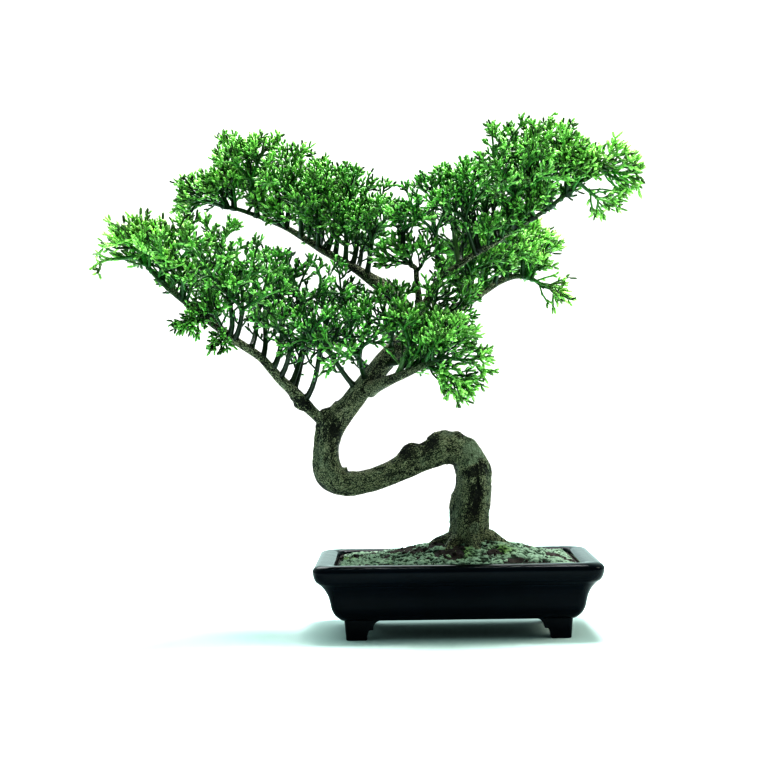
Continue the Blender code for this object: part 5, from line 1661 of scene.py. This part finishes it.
class SoilSettings(bpy.types.PropertyGroup):
    """Soil and its loose crumbs."""

    dark: colour_setting("Dark soil", "Colour of the wet hollows", "#120E0D")
    brown: colour_setting("Brown soil", "Main colour of the soil", "#2E241D")
    purple: colour_setting("Purple grit", "Colour of the purplish grit", "#40343A")
    pale: colour_setting("Pale grit", "Colour of the palest crumbs", "#6A5F50")
    crumb_height: length_setting("Crumb height", "Height of the clods and crumbs", 0.9 * MM, 0, 0.003)
    grains: bpy.props.IntProperty(
        name="Loose crumbs", description="How many loose crumbs lie on the soil", default=450, min=10, max=4000)


class MossSettings(bpy.types.PropertyGroup):
    """Moss on the soil."""

    # Colour of the moss's hollows and gaps: partly its own colour, partly painted shade
    deep: colour_setting("Deep moss", "Colour between the moss shoots", "#0C1712")
    mid: colour_setting("Middle moss", "Main colour of the moss", "#31493A")
    fresh: colour_setting("Fresh moss", "Colour of the moss tips", "#A9C2AC")
    sunny: colour_setting("Sunny moss", "Tint of the greenest patches", "#C6DC86")
    cover: bpy.props.FloatProperty(
        name="Cover", description="How far the moss spreads", subtype="FACTOR", default=1.0, min=0, max=2)
    shoots: bpy.props.IntProperty(
        name="Moss shoots", description="How many moss shoots are tried", default=4200, min=100, max=40000)


class WoodSettings(bpy.types.PropertyGroup):
    """Bark of the trunk, limbs and roots."""

    # Furrow and ridge colours: partly the bark's own, partly painted shade in the furrows and painted highlight
    # on the ridges
    furrow_and_shade: colour_setting("Furrow", "Colour in the bark's furrows", "#0A0D08")
    brown: colour_setting("Brown bark", "Colour of the furrows' sides", "#232819")
    olive: colour_setting("Olive bark", "Main colour of the bark", "#485034")
    ridge_and_highlight: colour_setting("Ridge", "Colour of the bark's ridges", "#B4B894")
    algae: colour_setting("Algae", "Green film on the bark", "#2A5A1E")
    # Colour of the pale patches: lichen, and painted light on lit places
    lichen: colour_setting("Lichen", "Pale grey-green patches", "#A9B79A")
    bark_depth: length_setting("Bark depth", "Depth of the bark's furrows on the trunk", 0.85 * MM, 0, 0.003)


class ShootSettings(bpy.types.PropertyGroup):
    """Green shoots of the sprays."""

    fresh: colour_setting("Fresh green", "Colour of the sunniest tips", "#A6DB74")
    mid: colour_setting("Middle green", "Main colour of the shoots", "#3D8A2C")
    deep: colour_setting("Deep green", "Colour of the older shoots", "#164A1A")
    twig: colour_setting("Twig", "Colour of the green twigs", "#143214")
    stem: colour_setting("Stem", "Colour of the woody stems", "#141E0C")
    # Pale colour mixed onto the best-lit shoots: a painted highlight
    painted_highlight: colour_setting("Wax bloom", "Colour of the palest, waxy shoots", "#BEE598")
    thickness: length_setting("Shoot thickness", "Thickness of an end shoot", 1.36 * MM, 0.0005, 0.003)
    roughness: bpy.props.FloatProperty(
        name="Roughness", description="Blur of the leaves' gloss", default=0.36, min=0, max=1)


class StageSettings(bpy.types.PropertyGroup):
    """Floor, light and camera."""

    floor: colour_setting("Floor", "Colour of the floor", "#E4F7F4")
    sky: bpy.props.FloatProperty(
        name="Sky light", description="Strength of the light all round", default=1.05, min=0, max=5)
    tint: colour_setting("Light tint", "Colour of the light from behind and above", "#DDF7F3")
    floor_reach: length_setting("Floor reach", "Half the width of the floor", 0.9, 0.3, 8)
    front: bpy.props.FloatProperty(
        name="Front light", description="Share of the light that comes from the viewer's side",
        subtype="FACTOR", default=0.2, min=0, max=1)
    lens: bpy.props.FloatProperty(
        name="Lens", description="Focal length of the camera in millimetres", default=84.375, min=10, max=300)
    distance: length_setting("Distance", "Distance of the camera from the tray's middle", 0.967, 0.1, 5)


class BONSAI_OT_tray(bpy.types.Operator):
    """Build the glazed tray with its drainage holes and bracket feet."""

    bl_idname = "bonsai.tray"
    bl_label = "Glazed Tray"

    def execute(self, context):
        make_tray(context.scene.bonsai_tray)
        return {"FINISHED"}


class BONSAI_OT_screens(bpy.types.Operator):
    """Give the two drainage screens their plastic."""

    bl_idname = "bonsai.screens"
    bl_label = "Drainage Screens"

    def execute(self, context):
        material = screen_material()
        for name in SCREENS:
            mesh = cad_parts[name].data
            mesh.materials.clear()
            mesh.materials.append(material)
        return {"FINISHED"}


class BONSAI_OT_soil(bpy.types.Operator):
    """Build the soil and its loose crumbs."""

    bl_idname = "bonsai.soil"
    bl_label = "Soil"

    def execute(self, context):
        make_soil(context.scene.bonsai_soil)
        make_grains(context.scene.bonsai_soil)
        return {"FINISHED"}


class BONSAI_OT_moss(bpy.types.Operator):
    """Grow moss on the soil."""

    bl_idname = "bonsai.moss"
    bl_label = "Moss"

    def execute(self, context):
        make_moss(context.scene.bonsai_moss)
        return {"FINISHED"}


class BONSAI_OT_wood(bpy.types.Operator):
    """Build the trunk, limbs and surface roots with their bark."""

    bl_idname = "bonsai.wood"
    bl_label = "Trunk and Limbs"

    def execute(self, context):
        make_wood(context.scene.bonsai_wood)
        return {"FINISHED"}


class BONSAI_OT_sprays(bpy.types.Operator):
    """Grow the sprays of shoots on every limb."""

    bl_idname = "bonsai.sprays"
    bl_label = "Sprays"

    def execute(self, context):
        make_sprays(context.scene.bonsai_shoots)
        return {"FINISHED"}


# Camera: aim in degrees from straight ahead, tilt and roll, with its place left of and above the tray
CAMERA_SIDE = -27.1
CAMERA_HEIGHT = 134.4
CAMERA_YAW = 0.60
CAMERA_PITCH = -0.10
CAMERA_ROLL = -0.84
SENSOR = 36.0


def add_camera(settings):
    """The camera at the viewer's place, aimed a little left and down and rolled to the tray's slope."""
    camera = bpy.data.cameras.new("viewer")
    camera.sensor_width = SENSOR
    camera.lens = settings.lens
    camera.clip_start = 0.01
    item = bpy.data.objects.new("viewer", camera)
    yaw, pitch, roll = (math.radians(value) for value in (CAMERA_YAW, CAMERA_PITCH, CAMERA_ROLL))
    forward = Vector((-math.sin(yaw) * math.cos(pitch), math.cos(yaw) * math.cos(pitch), math.sin(pitch)))
    right = forward.cross(Vector((0, 0, 1))).normalized()
    over = right.cross(forward)
    right, over = (right * math.cos(roll) + over * math.sin(roll),
                   over * math.cos(roll) - right * math.sin(roll))
    turn = Matrix((right, over, -forward)).transposed().to_4x4()
    spot = Vector(PLACE) + Vector((CAMERA_SIDE * MM, -settings.distance, CAMERA_HEIGHT * MM))
    item.matrix_world = Matrix.Translation(spot) @ turn
    bpy.context.scene.collection.objects.link(item)
    bpy.context.scene.camera = item


# Lights, as (name, direction to it, distance, size, power in watts, colour)
LIGHTS = (
    ("top", (0.10, 0.12, 0.95), 0.9, 0.36, 19.0, "#FFFFFF"),
    ("back", (-0.15, 0.85, 0.7), 1.1, 0.8, 4.0, "#FFFFFF"),
    ("side", (0.95, -0.12, 0.42), 0.9, 0.35, 2.2, "#FFF9E6"),
)


def add_lights():
    """Large soft lamps aimed at the middle of the tree."""
    target = (Vector(CAD_LOW) + Vector(CAD_HIGH)) / 2
    for name, direction, distance, size, power, colour in LIGHTS:
        light = bpy.data.lights.new(name, "AREA")
        light.shape = "DISK"
        light.size = size
        light.energy = power
        light.color = linear(colour)[:3]
        item = bpy.data.objects.new(name, light)
        heading = Vector(direction).normalized()
        turn = heading.to_track_quat("Z", "Y").to_matrix().to_4x4()
        item.matrix_world = Matrix.Translation(target + heading * distance) @ turn
        bpy.context.scene.collection.objects.link(item)


def add_floor_sheet(settings):
    """A wide pale floor under the feet."""
    size = settings.floor_reach
    mesh = bpy.data.meshes.new("studio_floor")
    corners = [(-size, -size, 0), (size, -size, 0), (size, size, 0), (-size, size, 0)]
    mesh.from_pydata(corners, [], [(0, 1, 2, 3)])
    material, _, shader = new_material("matt_white_paper")
    shader.inputs["Base Color"].default_value = (*settings.floor, 1.0)
    shader.inputs["Roughness"].default_value = 1.0
    shader.inputs["Specular IOR Level"].default_value = 0.0
    mesh.materials.append(material)
    floor = bpy.data.objects.new("studio_floor", mesh)
    bpy.context.scene.collection.objects.link(floor)


def add_sky(settings):
    """Soft studio: white behind and above the tree, dim in front of it, and a white backdrop."""
    world = bpy.data.worlds.new("white_studio")
    world.use_nodes = True
    tree = world.node_tree
    way = add_node(tree, "SeparateXYZ", {
        "Vector": add_node(tree, "TexCoord").outputs["Generated"]})
    behind = add_node(tree, "MapRange", {
        "Value": way.outputs["Y"], "From Min": -0.45, "From Max": 0.45, "To Min": settings.front,
        "To Max": 0.92},
        interpolation_type="SMOOTHSTEP")
    above = add_node(tree, "MapRange", {
        "Value": way.outputs["Z"], "From Min": 0.35, "From Max": 0.95, "To Min": 0.0, "To Max": 0.72},
        interpolation_type="SMOOTHSTEP")
    glow = add_node(tree, "Math", {0: behind.outputs["Result"], 1: above.outputs["Result"]},
                    operation="MAXIMUM")
    seen = add_node(tree, "Math", {
        0: add_node(tree, "LightPath").outputs["Is Camera Ray"], 1: glow.outputs[0]},
        operation="MAXIMUM")
    sky = tree.nodes["Background"]
    tint = add_node(tree, "Mix", {
        MIX_FACTOR: add_node(tree, "LightPath").outputs["Is Camera Ray"],
        MIX_A: settings.tint, MIX_B: (1.0, 1.0, 1.0, 1.0)}, data_type="RGBA")
    tree.links.new(tint.outputs[MIX_RESULT], sky.inputs["Color"])
    level = add_node(tree, "Math", {0: seen.outputs[0], 1: settings.sky}, operation="MULTIPLY")
    tree.links.new(level.outputs[0], sky.inputs["Strength"])
    bpy.context.scene.world = world


class BONSAI_OT_stage(bpy.types.Operator):
    """Set the floor, the soft light and the camera."""

    bl_idname = "bonsai.stage"
    bl_label = "Studio"

    def execute(self, context):
        settings = context.scene.bonsai_stage
        add_camera(settings)
        add_lights()
        add_floor_sheet(settings)
        add_sky(settings)
        context.scene.view_settings.view_transform = "Standard"
        context.scene.view_settings.look = "High Contrast"
        return {"FINISHED"}


class BONSAI_PT_panel(bpy.types.Panel):
    """Sidebar panel that lists the pieces and their settings."""

    bl_idname = "BONSAI_PT_panel"
    bl_label = "Juniper Bonsai"
    bl_space_type = "VIEW_3D"
    bl_region_type = "UI"
    bl_category = "Bonsai"

    def draw(self, context):
        for settings, operators in SECTIONS:
            box = self.layout.box()
            group = getattr(context.scene, settings)
            for name in group.bl_rna.properties.keys():
                if name not in ("name", "rna_type"):
                    box.prop(group, name)
            for operator in operators:
                box.operator(operator)


# Settings on the scene with their groups, and the pieces in building order
GROUPS = {
    "bonsai_tray": TraySettings, "bonsai_soil": SoilSettings, "bonsai_moss": MossSettings,
    "bonsai_wood": WoodSettings, "bonsai_shoots": ShootSettings, "bonsai_stage": StageSettings,
}
SECTIONS = (
    ("bonsai_tray", ("bonsai.tray", "bonsai.screens")), ("bonsai_soil", ("bonsai.soil",)),
    ("bonsai_moss", ("bonsai.moss",)), ("bonsai_wood", ("bonsai.wood",)),
    ("bonsai_shoots", ("bonsai.sprays",)), ("bonsai_stage", ("bonsai.stage",)),
)
CLASSES = (
    *GROUPS.values(), BONSAI_OT_tray, BONSAI_OT_screens, BONSAI_OT_soil, BONSAI_OT_moss,
    BONSAI_OT_wood, BONSAI_OT_sprays, BONSAI_OT_stage, BONSAI_PT_panel,
)


def register():
    """Register the classes and put each group of settings on the scene."""
    for item in CLASSES:
        bpy.utils.register_class(item)
    for name, group in GROUPS.items():
        setattr(bpy.types.Scene, name, bpy.props.PointerProperty(type=group))


def unregister():
    """Take the settings off the scene and unregister the classes."""
    for name in GROUPS:
        delattr(bpy.types.Scene, name)
    for item in reversed(CLASSES):
        bpy.utils.unregister_class(item)


def main():
    """Build every piece and the stage."""
    register()
    bpy.ops.bonsai.tray()
    bpy.ops.bonsai.screens()
    bpy.ops.bonsai.soil()
    bpy.ops.bonsai.moss()
    bpy.ops.bonsai.wood()
    bpy.ops.bonsai.sprays()
    bpy.ops.bonsai.stage()


if __name__ == "__main__":
    main()
